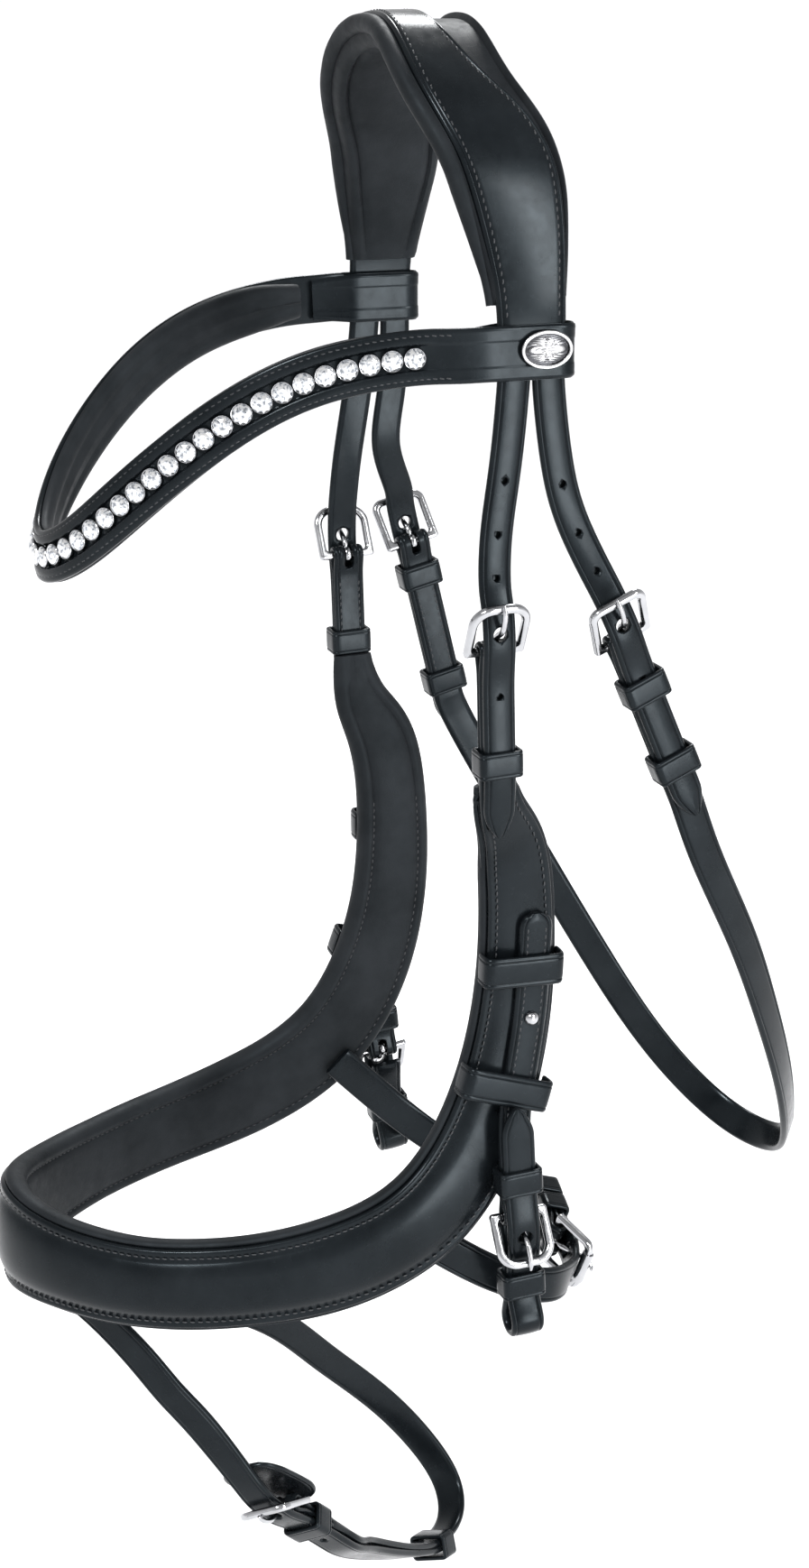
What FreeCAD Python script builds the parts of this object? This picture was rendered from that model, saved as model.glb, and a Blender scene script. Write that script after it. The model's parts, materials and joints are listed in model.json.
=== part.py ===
import FreeCAD, Part

import math
import os

from FreeCAD import Placement, Rotation, Vector
from Sketcher import Constraint

# Snaffle bridle with a combined cheek and noseband, a shaped browband, a throatlatch, a chin
# strap and a flash strap. Millimetres. The origin is the poll seat: the middle of the underside
# of the headpiece, where the bridle hangs. +Z is up, -Y is the horse's front and +X its left.

DRIVING = [
    ("strap_width", 11.5, "width of the headpiece billets and the throatlatch"),
    ("strap_thick", 2.8, "thickness of single strap leather"),
    ("leaf_thick", 1.9, "thickness of leather that is turned up round a buckle bar"),
    ("layer_gap", 0.25, "room between two leathers that lie on each other"),
    ("bit_width", 12.5, "width of the straps that hold the bit"),
    ("flash_width", 12.5, "width of the flash strap"),
    ("chin_width", 13.5, "width of the chin strap"),
    ("crown_thick", 2.8, "thickness of the headpiece leather"),
    ("crown_pad_thick", 9.9, "thickness of the padding under the poll"),
    ("nose_leather_thick", 2.8, "thickness of the noseband leather"),
    ("nose_pad_thick", 7.0, "thickness of the noseband padding"),
    ("brow_height", 18.0, "height of the browband"),
    ("brow_leather_thick", 2.4, "thickness of the browband leather"),
    ("brow_pad_thick", 4.0, "thickness of the browband padding"),
    ("wire", 3.0, "thickness of the metal of a buckle frame"),
    ("frame_width", 22.0, "width of a buckle frame over its sides"),
    ("frame_length", 18.0, "buckle frame from the bar's middle to the front's middle"),
    ("frame_tilt", 27.5, "lean of a buckle frame over the strap, in degrees"),
    ("tongue_width", 2.2, "width of a buckle tongue"),
    ("bar_room", 1.75, "radius of the leather turn and of the tongue's eye round the bar"),
    ("eye_radius", 2.95, "outer radius of the tongue's eye"),
    ("hole_radius", 1.9, "radius of a punched hole"),
    ("pinned_radius", 2.7, "radius of the hole that a tongue goes through"),
    ("slot_half", 2.3, "half width of the slot in a turned strap for the tongue"),
    ("keeper_wall", 1.6, "thickness of a keeper's leather"),
    ("keeper_height", 9.5, "height of a keeper along its strap"),
    ("keeper_room", 0.35, "room between a keeper and what it holds"),
    ("bit_bore", 3.6, "radius of the eye for the bit ring"),
    ("crystal_radius", 3.6, "radius of one crystal"),
    ("crystal_pitch", 7.35, "distance from one crystal to the next"),
    ("crystal_count", 45, "number of crystals on the browband"),
    ("badge_long", 9.0, "half length of the oval badge"),
    ("badge_short", 6.3, "half height of the oval badge"),
    ("badge_thick", 2.4, "thickness of the oval badge"),
    ("stud_head", 2.5, "radius of the head of the hook stud"),
    ("stud_shank", 1.2, "radius of the shank of the hook stud"),
]

DOC = FreeCAD.newDocument("snaffle_bridle")
SHEET = DOC.addObject("Spreadsheet::Sheet", "Dimensions")
for row, (alias, value, note) in enumerate(DRIVING, start=1):
    SHEET.set(f"A{row}", note)
    SHEET.set(f"B{row}", str(value))
    SHEET.setAlias(f"B{row}", alias)
DOC.recompute()


def dim(alias):
    return float(getattr(SHEET, alias))


# ---------------------------------------------------------------- lines that leather follows


class Line:
    """A smooth line through stations: x, y, z, then the way the leather faces."""

    def __init__(self, stations):
        self.rows = [list(map(float, s)) for s in stations]
        self.knots = [0.0]
        for a, b in zip(self.rows, self.rows[1:]):
            self.knots.append(self.knots[-1] + math.sqrt(math.dist(a[:3], b[:3])))
        self.bend = self._second_derivatives()

    def _second_derivatives(self):
        """Natural cubic spline, solved for all columns at once."""
        n, k, y = len(self.rows), self.knots, self.rows
        columns = range(len(y[0]))
        upper = [0.0] * n
        right = [[0.0] * len(y[0]) for _ in range(n)]
        for i in range(1, n - 1):
            before, after = k[i] - k[i - 1], k[i + 1] - k[i]
            pivot = 2 * (before + after) - before * upper[i - 1]
            upper[i] = after / pivot
            for c in columns:
                jump = 6 * ((y[i + 1][c] - y[i][c]) / after - (y[i][c] - y[i - 1][c]) / before)
                right[i][c] = (jump - before * right[i - 1][c]) / pivot
        bend = [[0.0] * len(y[0]) for _ in range(n)]
        for i in range(n - 2, 0, -1):
            for c in columns:
                bend[i][c] = right[i][c] - upper[i] * bend[i + 1][c]
        return bend

    def row(self, u):
        """All columns at share u of the knots, from 0 to 1."""
        t = u * self.knots[-1]
        i = max(j for j in range(len(self.knots) - 1) if self.knots[j] <= t + 1e-9)
        h = self.knots[i + 1] - self.knots[i]
        b = (t - self.knots[i]) / h
        a = 1 - b
        first, last = self.rows[i], self.rows[i + 1]
        return [
            a * p + b * q + ((a**3 - a) * m + (b**3 - b) * w) * h * h / 6
            for p, q, m, w in zip(first, last, self.bend[i], self.bend[i + 1])
        ]

    def frames(self, spacing, start=0.0, end=1.0):
        """Point, direction and facing, evenly spaced from share start to share end of it."""
        fine = [self.row(i / 600) for i in range(601)]
        length = [0.0]
        for a, b in zip(fine, fine[1:]):
            length.append(length[-1] + math.dist(a[:3], b[:3]))
        count = max(2, round(length[-1] * (end - start) / spacing))
        found, i = [], 0
        for step in range(count + 1):
            target = length[-1] * (start + (end - start) * step / count)
            while i < 599 and length[i + 1] < target:
                i += 1
            share = (target - length[i]) / (length[i + 1] - length[i])
            u = min(1.0, (i + share) / 600)
            here, back, ahead = self.row(u), self.row(max(0, u - 1e-4)), self.row(min(1, u + 1e-4))
            along = Vector(*ahead[:3]) - Vector(*back[:3])
            found.append(square_frame(Vector(*here[:3]), along, Vector(*here[3:6])))
        return found


def square_frame(point, along, facing):
    """Point, unit direction, and the facing turned square to it."""
    along = Vector(along).normalize()
    facing = Vector(facing) - along * along.dot(facing)
    return point, along, facing.normalize()


def section(frame, left, right, low, high):
    """A rectangle across the line: left and right of it, and from low to high along the facing."""
    point, along, facing = frame
    side = along.cross(facing)
    corners = [(left, high), (left, low), (-right, low), (-right, high)]
    spots = [point + side * s + facing * n for s, n in corners]
    return Part.makePolygon(spots + [spots[0]])


def band(frames, left, right, low, high):
    """A solid through rectangles. Each size is a number or a function of the share along it."""
    last = len(frames) - 1

    def at(size, i):
        return size(i / last) if callable(size) else size

    wires = [
        section(f, at(left, i), at(right, i), at(low, i), at(high, i))
        for i, f in enumerate(frames)
    ]
    return Part.makeLoft(wires, True, True)


def shares(values):
    """A size that goes through values at even shares of a band, in straight steps."""

    def size(u):
        place = u * (len(values) - 1)
        i = min(int(place), len(values) - 2)
        return values[i] + (values[i + 1] - values[i]) * (place - i)

    return size


def mirrored(stations):
    return [(-x, y, z, -fx, fy, fz) for x, y, z, fx, fy, fz in stations]


def round_trip(half):
    """A half that ends on the middle plane, carried on to the other side."""
    return half + mirrored(half[:-1])[::-1]


# ---------------------------------------------------------------- places of the buckles


class Site:
    """A buckle's place: its bar's middle, the way to the frame's front, and outward.

    Its own axes are X along the bar, Y to the front and Z outward."""

    def __init__(self, origin, ahead, outward):
        self.origin = Vector(*origin)
        self.y = Vector(*ahead).normalize()
        out = Vector(*outward)
        self.z = (out - self.y * self.y.dot(out)).normalize()
        self.x = self.y.cross(self.z)

    def spot(self, t, n):
        return self.origin + self.y * t + self.z * n

    def station(self, t, n):
        return (*self.spot(t, n), *self.z)

    def placement(self, t=0.0, n=0.0, tilt=0.0):
        turn = Rotation(self.x, self.y, self.z, "XYZ")
        return Placement(self.spot(t, n), turn * Rotation(Vector(1, 0, 0), tilt))

    def mirrored(self):
        def flip(v):
            return (-v.x, v.y, v.z)

        return Site(flip(self.origin), flip(self.y), flip(self.z))


CHEEK = Site((76.5, -2, -191), (0, -0.03, 1), (1, 0, 0.02))
BIT = Site((79.5, 8.5, -401), (0.05, 0.04, -1), (1, 0, 0.05))
SITES = {
    "cheek_left": CHEEK,
    "cheek_right": CHEEK.mirrored(),
    "throat_left": Site((79, 44, -190.4), (0, -0.40, 0.916), (1, 0, 0)),
    "throat_right": Site((-79, 26, -188.5), (0, -0.236, 0.972), (-1, 0, 0)),
    "bit_left": BIT,
    "bit_right": Site((-79.5, 12.5, -403), (-0.05, 0.12, -1), (-1, 0, 0.05)),
    "flash": Site((41.5, -69, -529), (0.27, -0.66, 0.70), (0.74, -0.2, -0.62)),
    "chin": Site((32, 43.5, -441), (0.95, -0.16, -0.16), (0.11, 0.93, -0.27)),
}

# ---------------------------------------------------------------- stations, chosen by hand

CROWN_HALF = [
    (74.3, 11, -101, 1, 0, 0),
    (74.3, 11, -87, 1, 0, 0.02),
    (71.5, 11, -69, 1, 0, 0.25),
    (65.5, 10, -48, 1, 0, 0.5),
    (56, 7, -27, 0.85, 0, 0.7),
    (41, 0, -8, 0.6, 0, 0.85),
    (21, -3, 7.5, 0.3, 0, 1),
    (0, -3, 11.5, 0, 0, 1),
]
NOSE_HALF = [
    (76.5, -0.7, -235, 1, 0, 0.02),
    (75.2, 2.2, -249, 1, 0, 0),
    (70.8, 8.5, -264, 1, 0, 0),
    (68.4, 12, -297, 1, 0, 0),
    (68.2, 10, -330, 1, 0, 0),
    (69.6, 3, -358, 1, 0, 0),
    (72.6, -10, -383, 1, -0.05, 0),
    (75.4, -31, -402, 1, -0.08, 0),
    (73.4, -65, -414, 0.95, -0.25, 0),
    (62.5, -104, -419, 0.8, -0.55, 0),
    (39, -140, -420, 0.45, -0.85, 0),
    (0, -161.5, -418, 0, -1, 0),
]
BROW_HALF = [
    (78.3, -4.6, -92, 1, -0.15, 0),
    (72.5, -28, -92.5, 1, -0.22, 0),
    (65, -60, -98.5, 1, -0.3, 0),
    (55.5, -91, -115, 0.9, -0.45, 0),
    (40, -117, -139, 0.7, -0.7, 0),
    (21.5, -132, -157, 0.4, -0.9, 0),
    (0, -138, -164, 0, -1, 0),
]
CHEEK_BILLET_TOP = [
    (74.3, 4.6, -104.5, 1, 0, 0),
    (75.2, 2, -128, 1, 0, 0),
    (76.3, -1.5, -152, 1, 0, 0),
]
THROAT_BILLET_TOPS = {
    "left": [
        (74.3, 17.0, -104.5, 1, 0, 0),
        (75.5, 20, -128, 1, 0, 0),
        (77, 26, -150, 1, 0, 0),
    ],
    "right": [
        (-74.3, 17.0, -104.5, -1, 0, 0),
        (-75.5, 16, -128, -1, 0, 0),
        (-77, 14.5, -150, -1, 0, 0),
    ],
}
THROAT_FREE = [
    (77.5, 79, -272, 1, 0.05, 0),
    (71, 98, -308, 1, 0.2, 0),
    (62, 114, -341, 0.95, 0.4, 0),
    (48, 131, -378, 0.8, 0.65, -0.1),
    (27, 146, -411, 0.45, 0.85, -0.35),
    (2, 154, -430, 0.1, 0.85, -0.6),
    (-26, 147, -431, -0.45, 0.75, -0.5),
    (-49, 126, -407, -0.8, 0.5, -0.2),
    (-63, 102, -367, -0.95, 0.25, 0),
    (-71, 79, -325, -1, 0.1, 0),
    (-76.5, 58, -286, -1, 0, 0),
]
HANGER_HALF = [
    (72.0, 17, -289, 1, 0, 0),
    (71.8, 16.5, -305, 1, 0, 0),
    (71.8, 15, -328, 1, 0, 0),
    (72.9, 11.3, -350, 1, 0, 0),
    (74.4, 8.9, -366, 1, 0, 0),
]
FLASH_FRONT = [
    (42.5, -101, -488, 0.9, -0.35, -0.2),
    (39, -112, -473, 0.9, -0.45, -0.1),
    (34, -121, -460, 0.85, -0.55, 0),
    (24, -134, -445, 0.7, -0.75, 0),
    (12, -143.8, -438, 0.3, -0.95, 0),
    (0, -147.5, -436.5, 0, -1, 0),
    (-12, -143.2, -440, -0.4, -0.9, 0),
    (-22, -118, -455, -0.85, -0.5, 0),
    (-30, -83, -475, -0.9, -0.25, 0),
    (-37, -50, -496, -1, -0.1, 0),
    (-44, -26, -521, -1, 0, 0),
    (-48, -1, -547.5, -1, 0.15, 0),
    (-46, 18, -571.5, -0.9, 0.4, -0.1),
    (-38, 27, -589, -0.75, 0.6, -0.3),
    (-26, 24, -598, -0.4, 0.7, -0.6),
    (-9, 7, -596.5, -0.1, 0.5, -0.85),
    (9, -17.5, -580.5, 0.25, 0.3, -0.9),
    (21, -33, -567.5, 0.55, 0.1, -0.8),
]
FLASH_TIP = [
    (-20, 19.5, -601.2, -0.3, 0.65, -0.7),
    (-9.4, 8.7, -599.5, -0.1, 0.5, -0.85),
    (9.9, -16.4, -583.7, 0.25, 0.3, -0.9),
    (22.9, -32.6, -570.3, 0.55, 0.1, -0.8),
]
FLASH_END_KEEPER = Vector(-13, 11, -597.6)
CHIN_FAR = [
    (-63, -12, -398, -1, 0, 0),
    (-64, 4, -415, -1, 0, 0),
    (-61, 24, -434, -0.95, 0.3, 0),
    (-47, 43, -447, -0.7, 0.7, 0),
    (-27, 53, -449, -0.25, 1, 0),
]
CHIN_NEAR = [
    (65.5, 29, -441, 0.8, 0.6, 0),
    (67.5, 12, -435, 1, 0.1, 0),
    (65.5, -8, -423, 1, 0, 0),
    (63.5, -24, -411, 1, 0, 0),
]

# Distances along a strap, from its start or from its buckle's bar.
CHEEK_HOLES = {"left": (29.5, 47.5, 62), "right": (7, 24, 43)}
THROAT_HOLES = {"left": (32, 49.5, 64), "right": (10, 28.5, 46.5)}
CHEEK_REACH = 56
THROAT_REACH = {"left": 61, "right": 70}
CHEEK_TURN = 46
THROAT_TURN = {"left": 55, "right": 64}
CHEEK_KEEPER = {"left": -39, "right": -34.5}
THROAT_KEEPERS = {"left": (-19, -50), "right": (-14, -59)}
SIDE_KEEPERS = {"left": (0.1104, 0.1747), "right": (0.0965, 0.1747)}

FACING_LEFT = Rotation(Vector(0, 1, 0), Vector(0, 0, 1), Vector(1, 0, 0), "XYZ")
LOOP_PLACE = Vector(74.3, 11, -92)
BADGE_PLACE = Vector(78.0, 14.3, -91)
STUD_PLACE = Vector(71.8, 15, -328)
FLASH_LOOP_PLACE = Vector(0, -147.3, -437)

NOSE_FRONT_WIDTHS = [6, 12.5, 13.2, 14.3, 15.5, 16.5, 17, 16.5, 16.5, 18, 21]
NOSE_BACK_WIDTHS = [6, 13, 14, 15.3, 17, 18.5, 18, 16.5, 16.5, 17.5, 20.5]
NOSE_EDGE = 1.2
CROWN_BACK_WIDTHS = [11.8, 12.1, 14.5, 16.5, 13.5, 6.5, 2, 0.5]
CROWN_FRONT_WIDTHS = [11.8, 12.1, 14.5, 16.5, 17.5, 17, 15.5, 14.5]
LEAF = 1.05
OVER_LEAF = 3.65
OVER_BAR = 5.15
TONGUE_HOLE = 6.9
KEEPER_LOW = -2.0
KEEPER_HIGH = 5.05
CORNERS = {"cheek": 7.5, "bit": 7.5, "throat": 4.5, "flash": 5.5, "chin": 4.5}
SPACING = 7.0
FINE = 3.0


# ---------------------------------------------------------------- features and checks


def feature(label, shape, placement=None):
    """A sub-part whose shape is set in code."""
    made = DOC.addObject("Part::Feature", label)
    made.Label = label
    made.Shape = shape
    if placement is not None:
        made.Placement = placement
    return made


def body(label):
    made = DOC.addObject("PartDesign::Body", label)
    made.Label = label
    return made


def sketch(owner, role, name):
    """A sketch on one of the body's own origin planes."""
    made = owner.newObject("Sketcher::SketchObject", name)
    plane = next(o for o in owner.Origin.OriginFeatures if o.Role == role)
    made.AttachmentSupport = [(plane, "")]
    made.MapMode = "FlatFace"
    return made


def rectangle(target, edges):
    """A rectangle whose left, right, bottom and top are expressions, measured from the axes."""
    count = target.GeometryCount
    spots = [Vector(-1, -1, 0), Vector(1, -1, 0), Vector(1, 1, 0), Vector(-1, 1, 0)]
    for i in range(4):
        target.addGeometry(Part.LineSegment(spots[i], spots[(i + 1) % 4]), False)
    for i in range(4):
        target.addConstraint(Constraint("Coincident", count + i, 2, count + (i + 1) % 4, 1))
    for i, way in enumerate(["Horizontal", "Vertical", "Horizontal", "Vertical"]):
        target.addConstraint(Constraint(way, count + i))
    rows = [("DistanceX", 0, "left"), ("DistanceX", 1, "right"),
            ("DistanceY", 0, "bottom"), ("DistanceY", 2, "top")]
    for (way, corner, side), expression in zip(rows, edges):
        name = f"{side}{count}"
        index = target.addConstraint(Constraint(way, -1, 1, count + corner, 1, 1.0))
        target.renameConstraint(index, name)
        target.setExpression(f"Constraints.{name}", expression)


def circle(target, radius):
    """A circle about the origin, whose radius is an expression."""
    index = target.addGeometry(Part.Circle(Vector(), Vector(0, 0, 1), 1.0), False)
    target.addConstraint(Constraint("Coincident", index, 3, -1, 1))
    name = f"radius{index}"
    made = target.addConstraint(Constraint("Radius", index, 1.0))
    target.renameConstraint(made, name)
    target.setExpression(f"Constraints.{name}", radius)


def pad(owner, profile, length, name):
    made = owner.newObject("PartDesign::Pad", name)
    made.Profile = profile
    made.Midplane = True
    made.setExpression("Length", length)
    return made


def fillet(owner, base, chosen, radius, name):
    """A fillet on the edges of base that chosen accepts."""
    DOC.recompute()
    edges = [f"Edge{i + 1}" for i, e in enumerate(base.Shape.Edges) if chosen(e)]
    made = owner.newObject("PartDesign::Fillet", name)
    made.Base = (base, edges)
    if isinstance(radius, str):
        made.setExpression("Radius", radius)
    else:
        made.Radius = radius
    return made


def runs_along(axis):
    def chosen(edge):
        if len(edge.Vertexes) != 2:
            return False
        step = edge.Vertexes[1].Point - edge.Vertexes[0].Point
        return abs(step.normalize().dot(axis)) > 0.999 and edge.Curve.TypeId == "Part::GeomLine"

    return chosen


# ---------------------------------------------------------------- metal pieces


def buckle_frame(label, site, front_radius):
    """A rounded rectangle of wire, with its bar on the site's X axis."""
    owner = body(label)
    outline = sketch(owner, "XY_Plane", "outline")
    rectangle(outline, [
        "-Dimensions.frame_width / 2",
        "Dimensions.frame_width / 2",
        "-Dimensions.wire / 2",
        "Dimensions.frame_length + Dimensions.wire / 2",
    ])
    rectangle(outline, [
        "-Dimensions.frame_width / 2 + Dimensions.wire",
        "Dimensions.frame_width / 2 - Dimensions.wire",
        "Dimensions.wire / 2",
        "Dimensions.frame_length - Dimensions.wire / 2",
    ])
    ring = pad(owner, outline, "Dimensions.wire", "ring")
    upright = runs_along(Vector(0, 0, 1))
    half = dim("frame_width") / 2
    length = dim("frame_length") + dim("wire") / 2

    def outer_front(edge):
        spot = edge.CenterOfMass
        return upright(edge) and abs(spot.x) > half - 0.1 and spot.y > length - 0.1

    def other_corner(edge):
        spot = edge.CenterOfMass
        return upright(edge) and spot.y < 4

    def inner_front(edge):
        spot = edge.CenterOfMass
        return upright(edge) and abs(spot.x) < half - 0.1 and spot.y > 4

    front = fillet(owner, ring, outer_front, front_radius, "front_corners")
    inside = fillet(owner, front, inner_front, front_radius - 2.6, "front_corners_inside")
    corners = fillet(owner, inside, other_corner, 1.4, "other_corners")

    def on_a_face(edge):
        return abs(abs(edge.CenterOfMass.z) - dim("wire") / 2) < 0.01

    fillet(owner, corners, on_a_face, 1.25, "round_section")
    owner.Placement = site.placement(tilt=dim("frame_tilt"))
    return owner


def tongue_points(lift):
    """The tongue's middle line in the site's Y and Z: under the strap, up its hole, to the front."""
    tilt = math.radians(dim("frame_tilt"))
    rest = dim("wire") / 2 + dim("tongue_width") / 2 + 0.1 + lift
    front_y = dim("frame_length") * math.cos(tilt)
    front_z = dim("frame_length") * math.sin(tilt)
    return [
        (1.9, 1.1),
        (5.2, 2.3),
        (8.2, 8.2),
        (front_y - 0.8, front_z + rest),
        (front_y + 1.8, front_z + rest - 0.5),
    ]


def tongue(label, site, lift=0.0):
    """An eye round the bar and a bent prong whose tip rests on the frame's front."""
    owner = body(label)
    eye = sketch(owner, "YZ_Plane", "eye")
    circle(eye, "Dimensions.eye_radius")
    pad(owner, eye, "Dimensions.tongue_width + 0.6", "eye_ring")
    prong = sketch(owner, "YZ_Plane", "prong")
    half = dim("tongue_width") / 2 * 0.82
    middle = [Vector(y, z, 0) for y, z in tongue_points(lift)]
    left, right = [], []
    for i, spot in enumerate(middle):
        before, after = middle[max(0, i - 1)], middle[min(len(middle) - 1, i + 1)]
        along = (after - before).normalize()
        across = Vector(-along.y, along.x, 0) * (half if i < len(middle) - 1 else half * 0.45)
        left.append(spot + across)
        right.append(spot - across)
    outline = left + right[::-1]
    for i, spot in enumerate(outline):
        prong.addGeometry(Part.LineSegment(spot, outline[(i + 1) % len(outline)]), False)
    for i in range(len(outline)):
        prong.addConstraint(Constraint("Coincident", i, 2, (i + 1) % len(outline), 1))
        prong.addConstraint(Constraint("Block", i))
    pad(owner, prong, "Dimensions.tongue_width * 0.9", "prong_bar")
    bore = sketch(owner, "YZ_Plane", "bore")
    circle(bore, "Dimensions.bar_room")
    hole = owner.newObject("PartDesign::Pocket", "bar_hole")
    hole.Profile = bore
    hole.Midplane = True
    hole.setExpression("Length", "Dimensions.tongue_width * 4")
    owner.Placement = site.placement()
    return owner


def roller(label, site):
    """A thin tube that turns round the front of the chin strap's buckle frame."""
    owner = body(label)
    outline = sketch(owner, "YZ_Plane", "outline")
    circle(outline, "Dimensions.wire / 2 + 0.75")
    circle(outline, "Dimensions.wire / 2 + 0.2")
    pad(owner, outline, "Dimensions.frame_width - 2 * Dimensions.wire - 3.5", "tube")
    tilt = math.radians(dim("frame_tilt"))
    length = dim("frame_length")
    owner.Placement = site.placement(length * math.cos(tilt), length * math.sin(tilt))
    return owner


def keeper(label, placement, width, low, high, height="Dimensions.keeper_height"):
    """A leather loop: width across, from low to high along Z inside, a keeper_height tall in Y."""
    owner = body(label)
    outline = sketch(owner, "XZ_Plane", "outline")
    room, wall = "Dimensions.keeper_room", "Dimensions.keeper_wall"
    inner = [f"-({width}) / 2 - {room}", f"({width}) / 2 + {room}",
             f"{low} - {room}", f"{high} + {room}"]
    outer = [f"{inner[0]} - {wall}", f"{inner[1]} + {wall}",
             f"{inner[2]} - {wall}", f"{inner[3]} + {wall}"]
    rectangle(outline, inner)
    rectangle(outline, outer)
    ring = pad(owner, outline, height, "ring")
    half = (owner_width(width) / 2) + dim("keeper_room") + dim("keeper_wall")

    def outer_corner(edge):
        return runs_along(Vector(0, 1, 0))(edge) and abs(edge.CenterOfMass.x) > half - 0.05

    fillet(owner, ring, outer_corner, 1.3, "corners")
    owner.Placement = placement
    return owner


def owner_width(expression):
    """The value of a width that a keeper was given as an expression of one cell."""
    words = expression.replace("Dimensions.", "").split("+")
    return sum(dim(w.strip()) if w.strip().isidentifier() else float(w) for w in words)


def studs(label, placements):
    """Domed hook studs on shanks, each with Z outward at its placement."""
    head, shank = dim("stud_head"), dim("stud_shank")
    spots = [(0, -2.4), (shank, -2.4), (shank, 0), (head * 0.9, 0), (head, 0.7),
             (head * 0.85, 1.6), (head * 0.5, 2.3), (0, 2.6), (0, -2.4)]
    face = Part.Face(Part.makePolygon([Vector(r, 0, h) for r, h in spots]))
    turned_stud = face.revolve(Vector(), Vector(0, 0, 1), 360)
    made = []
    for placement in placements:
        one = turned_stud.copy()
        one.Placement = placement
        made.append(one)
    return feature(label, Part.makeCompound(made))


def badge(label, placement):
    """An oval badge with a raised rim, with Z outward and its length along Y."""
    long, short, thick = dim("badge_long"), dim("badge_short"), dim("badge_thick")
    up = Vector(0, 0, 1)

    def oval(grow, base, height):
        wire = Part.Ellipse(Vector(0, 0, base), long + grow, short + grow).toShape()
        return Part.Face(Part.Wire(wire)).extrude(up * height)

    plate = oval(0, 0, thick)
    dish = oval(-1.3, thick - 0.8, thick)
    dome = oval(-2.6, thick - 1.0, 0.7)
    shape = plate.cut(dish).fuse(dome).removeSplitter()
    turned = Rotation(up, 90)
    return feature(label, shape, placement * Placement(Vector(), turned))


# ---------------------------------------------------------------- leather pieces


def billet_stations(site, reach):
    """A strap's way through a buckle: under the front, over the bar, then on over the leaves."""
    steps = [(22, 2.2), (15.5, 4.1), (TONGUE_HOLE, 5.3), (0, OVER_BAR), (-9, OVER_LEAF + 0.3)]
    steps += [(-9 - (reach - 9) * i / 3, OVER_LEAF) for i in (1, 2, 3)]
    return [site.station(t, n) for t, n in steps]


def turned(site, outer, inner, width):
    """A strap end turned round the bar: two leaves side by side and the bend between them."""
    half, inside = dim("leaf_thick") / 2, dim("bar_room")
    edges, ends = [], []
    for gap, radius in [(LEAF + half, inside + 2 * half), (LEAF - half, inside)]:
        sides = []
        for reach, sign in ((outer, 1), (inner, -1)):
            steps = [(-reach, gap), (-8, gap), (-3.2, radius - 0.4), (0, radius)]
            sides.append([site.spot(t, sign * n) for t, n in steps])
        for spots in sides:
            edges += [Part.makeLine(a, b) for a, b in zip(spots, spots[1:])]
        bend = Part.Arc(sides[0][-1], site.spot(radius, 0), sides[1][-1])
        edges.append(bend.toShape())
        ends.append((sides[0][0], sides[1][0]))
    edges += [Part.makeLine(a, b) for a, b in zip(*ends)]
    wire = Part.Wire(Part.__sortEdges__(edges))
    solid = Part.Face(wire).extrude(site.x * width)
    solid.translate(site.x * (-width / 2))
    return solid.cut(tongue_slot(site))


def tongue_slot(site):
    """The slot in a turned strap for the tongue and its eye."""
    half = dim("slot_half")
    block = Part.makeBox(2 * half, 13, 10, Vector(-half, -6, -5))
    block.Placement = site.placement()
    return block


def punch(shape, placement, radius, deep=14):
    """A round hole through leather, along the placement's Z."""
    drill = Part.makeCylinder(radius, deep, Vector(0, 0, -deep / 2))
    drill.Placement = placement
    return shape.cut(drill)


def pointed(length, width):
    """A half width that comes to a blunt point at the far end of a band of this length."""

    def size(u):
        left = (1 - u) * length
        return width / 2 * min(1.0, 0.35 + 0.65 * left / 9)

    return size


def line_length(frames):
    return sum(a[0].distanceToPoint(b[0]) for a, b in zip(frames, frames[1:]))


def strap(stations, width, thick, tip=True, spacing=FINE):
    """A flat strap along stations, with a pointed tip at its far end."""
    frames = Line(stations).frames(spacing)
    half = pointed(line_length(frames), width) if tip else width / 2
    return band(frames, half, half, -thick / 2, thick / 2)


def billet(label, top, site, reach, tip_height, holes):
    """A headpiece billet that is buckled, with holes at these distances down its free part."""
    width, thick = dim("strap_width"), dim("strap_thick")
    ending = [(-reach, (OVER_LEAF + tip_height) / 2), (-reach - 10, tip_height)]
    rows = top + billet_stations(site, reach - 12) + [site.station(t, n) for t, n in ending]
    shape = strap(rows, width, thick)
    shape = punch(shape, site.placement(TONGUE_HOLE, 5), dim("pinned_radius"))
    upper = Line(top + [site.station(22, 2.2)])
    length = line_length(upper.frames(SPACING))
    for distance in holes:
        share = distance / length
        point, along, facing = upper.frames(SPACING, share, share + 0.01)[0]
        side = along.cross(facing)
        shape = punch(shape, Placement(point, Rotation(side, along, facing, "ZXY")),
                      dim("hole_radius"), 6)
    shape = punch(shape, site.placement(-15, 4), dim("hole_radius"), 4)
    return feature(label, shape)


def half_and_back(values):
    """Sizes for a whole band from those of its left half."""
    return shares(values + values[-2::-1])


def headpiece():
    line = Line(round_trip(CROWN_HALF))
    thick = dim("crown_thick")
    frames = line.frames(SPACING)
    back = half_and_back(CROWN_BACK_WIDTHS)
    front = half_and_back(CROWN_FRONT_WIDTHS)
    feature("headpiece_leather", band(frames, back, front, -thick / 2, thick / 2))
    high = -thick / 2 - dim("layer_gap")
    deep = [4.5, 7.5, 9.5] + [dim("crown_pad_thick")] * 5
    pad_frames = line.frames(SPACING, 0.085, 0.915)
    back = half_and_back([12, 15, 18, 18.5, 17.5, 17, 17, 17])
    front = half_and_back([12, 15, 17, 18, 18.5, 18, 16.5, 15.5])
    low = half_and_back([high - d for d in deep])
    feature("headpiece_pad", band(pad_frames, back, front, low, high))


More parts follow.
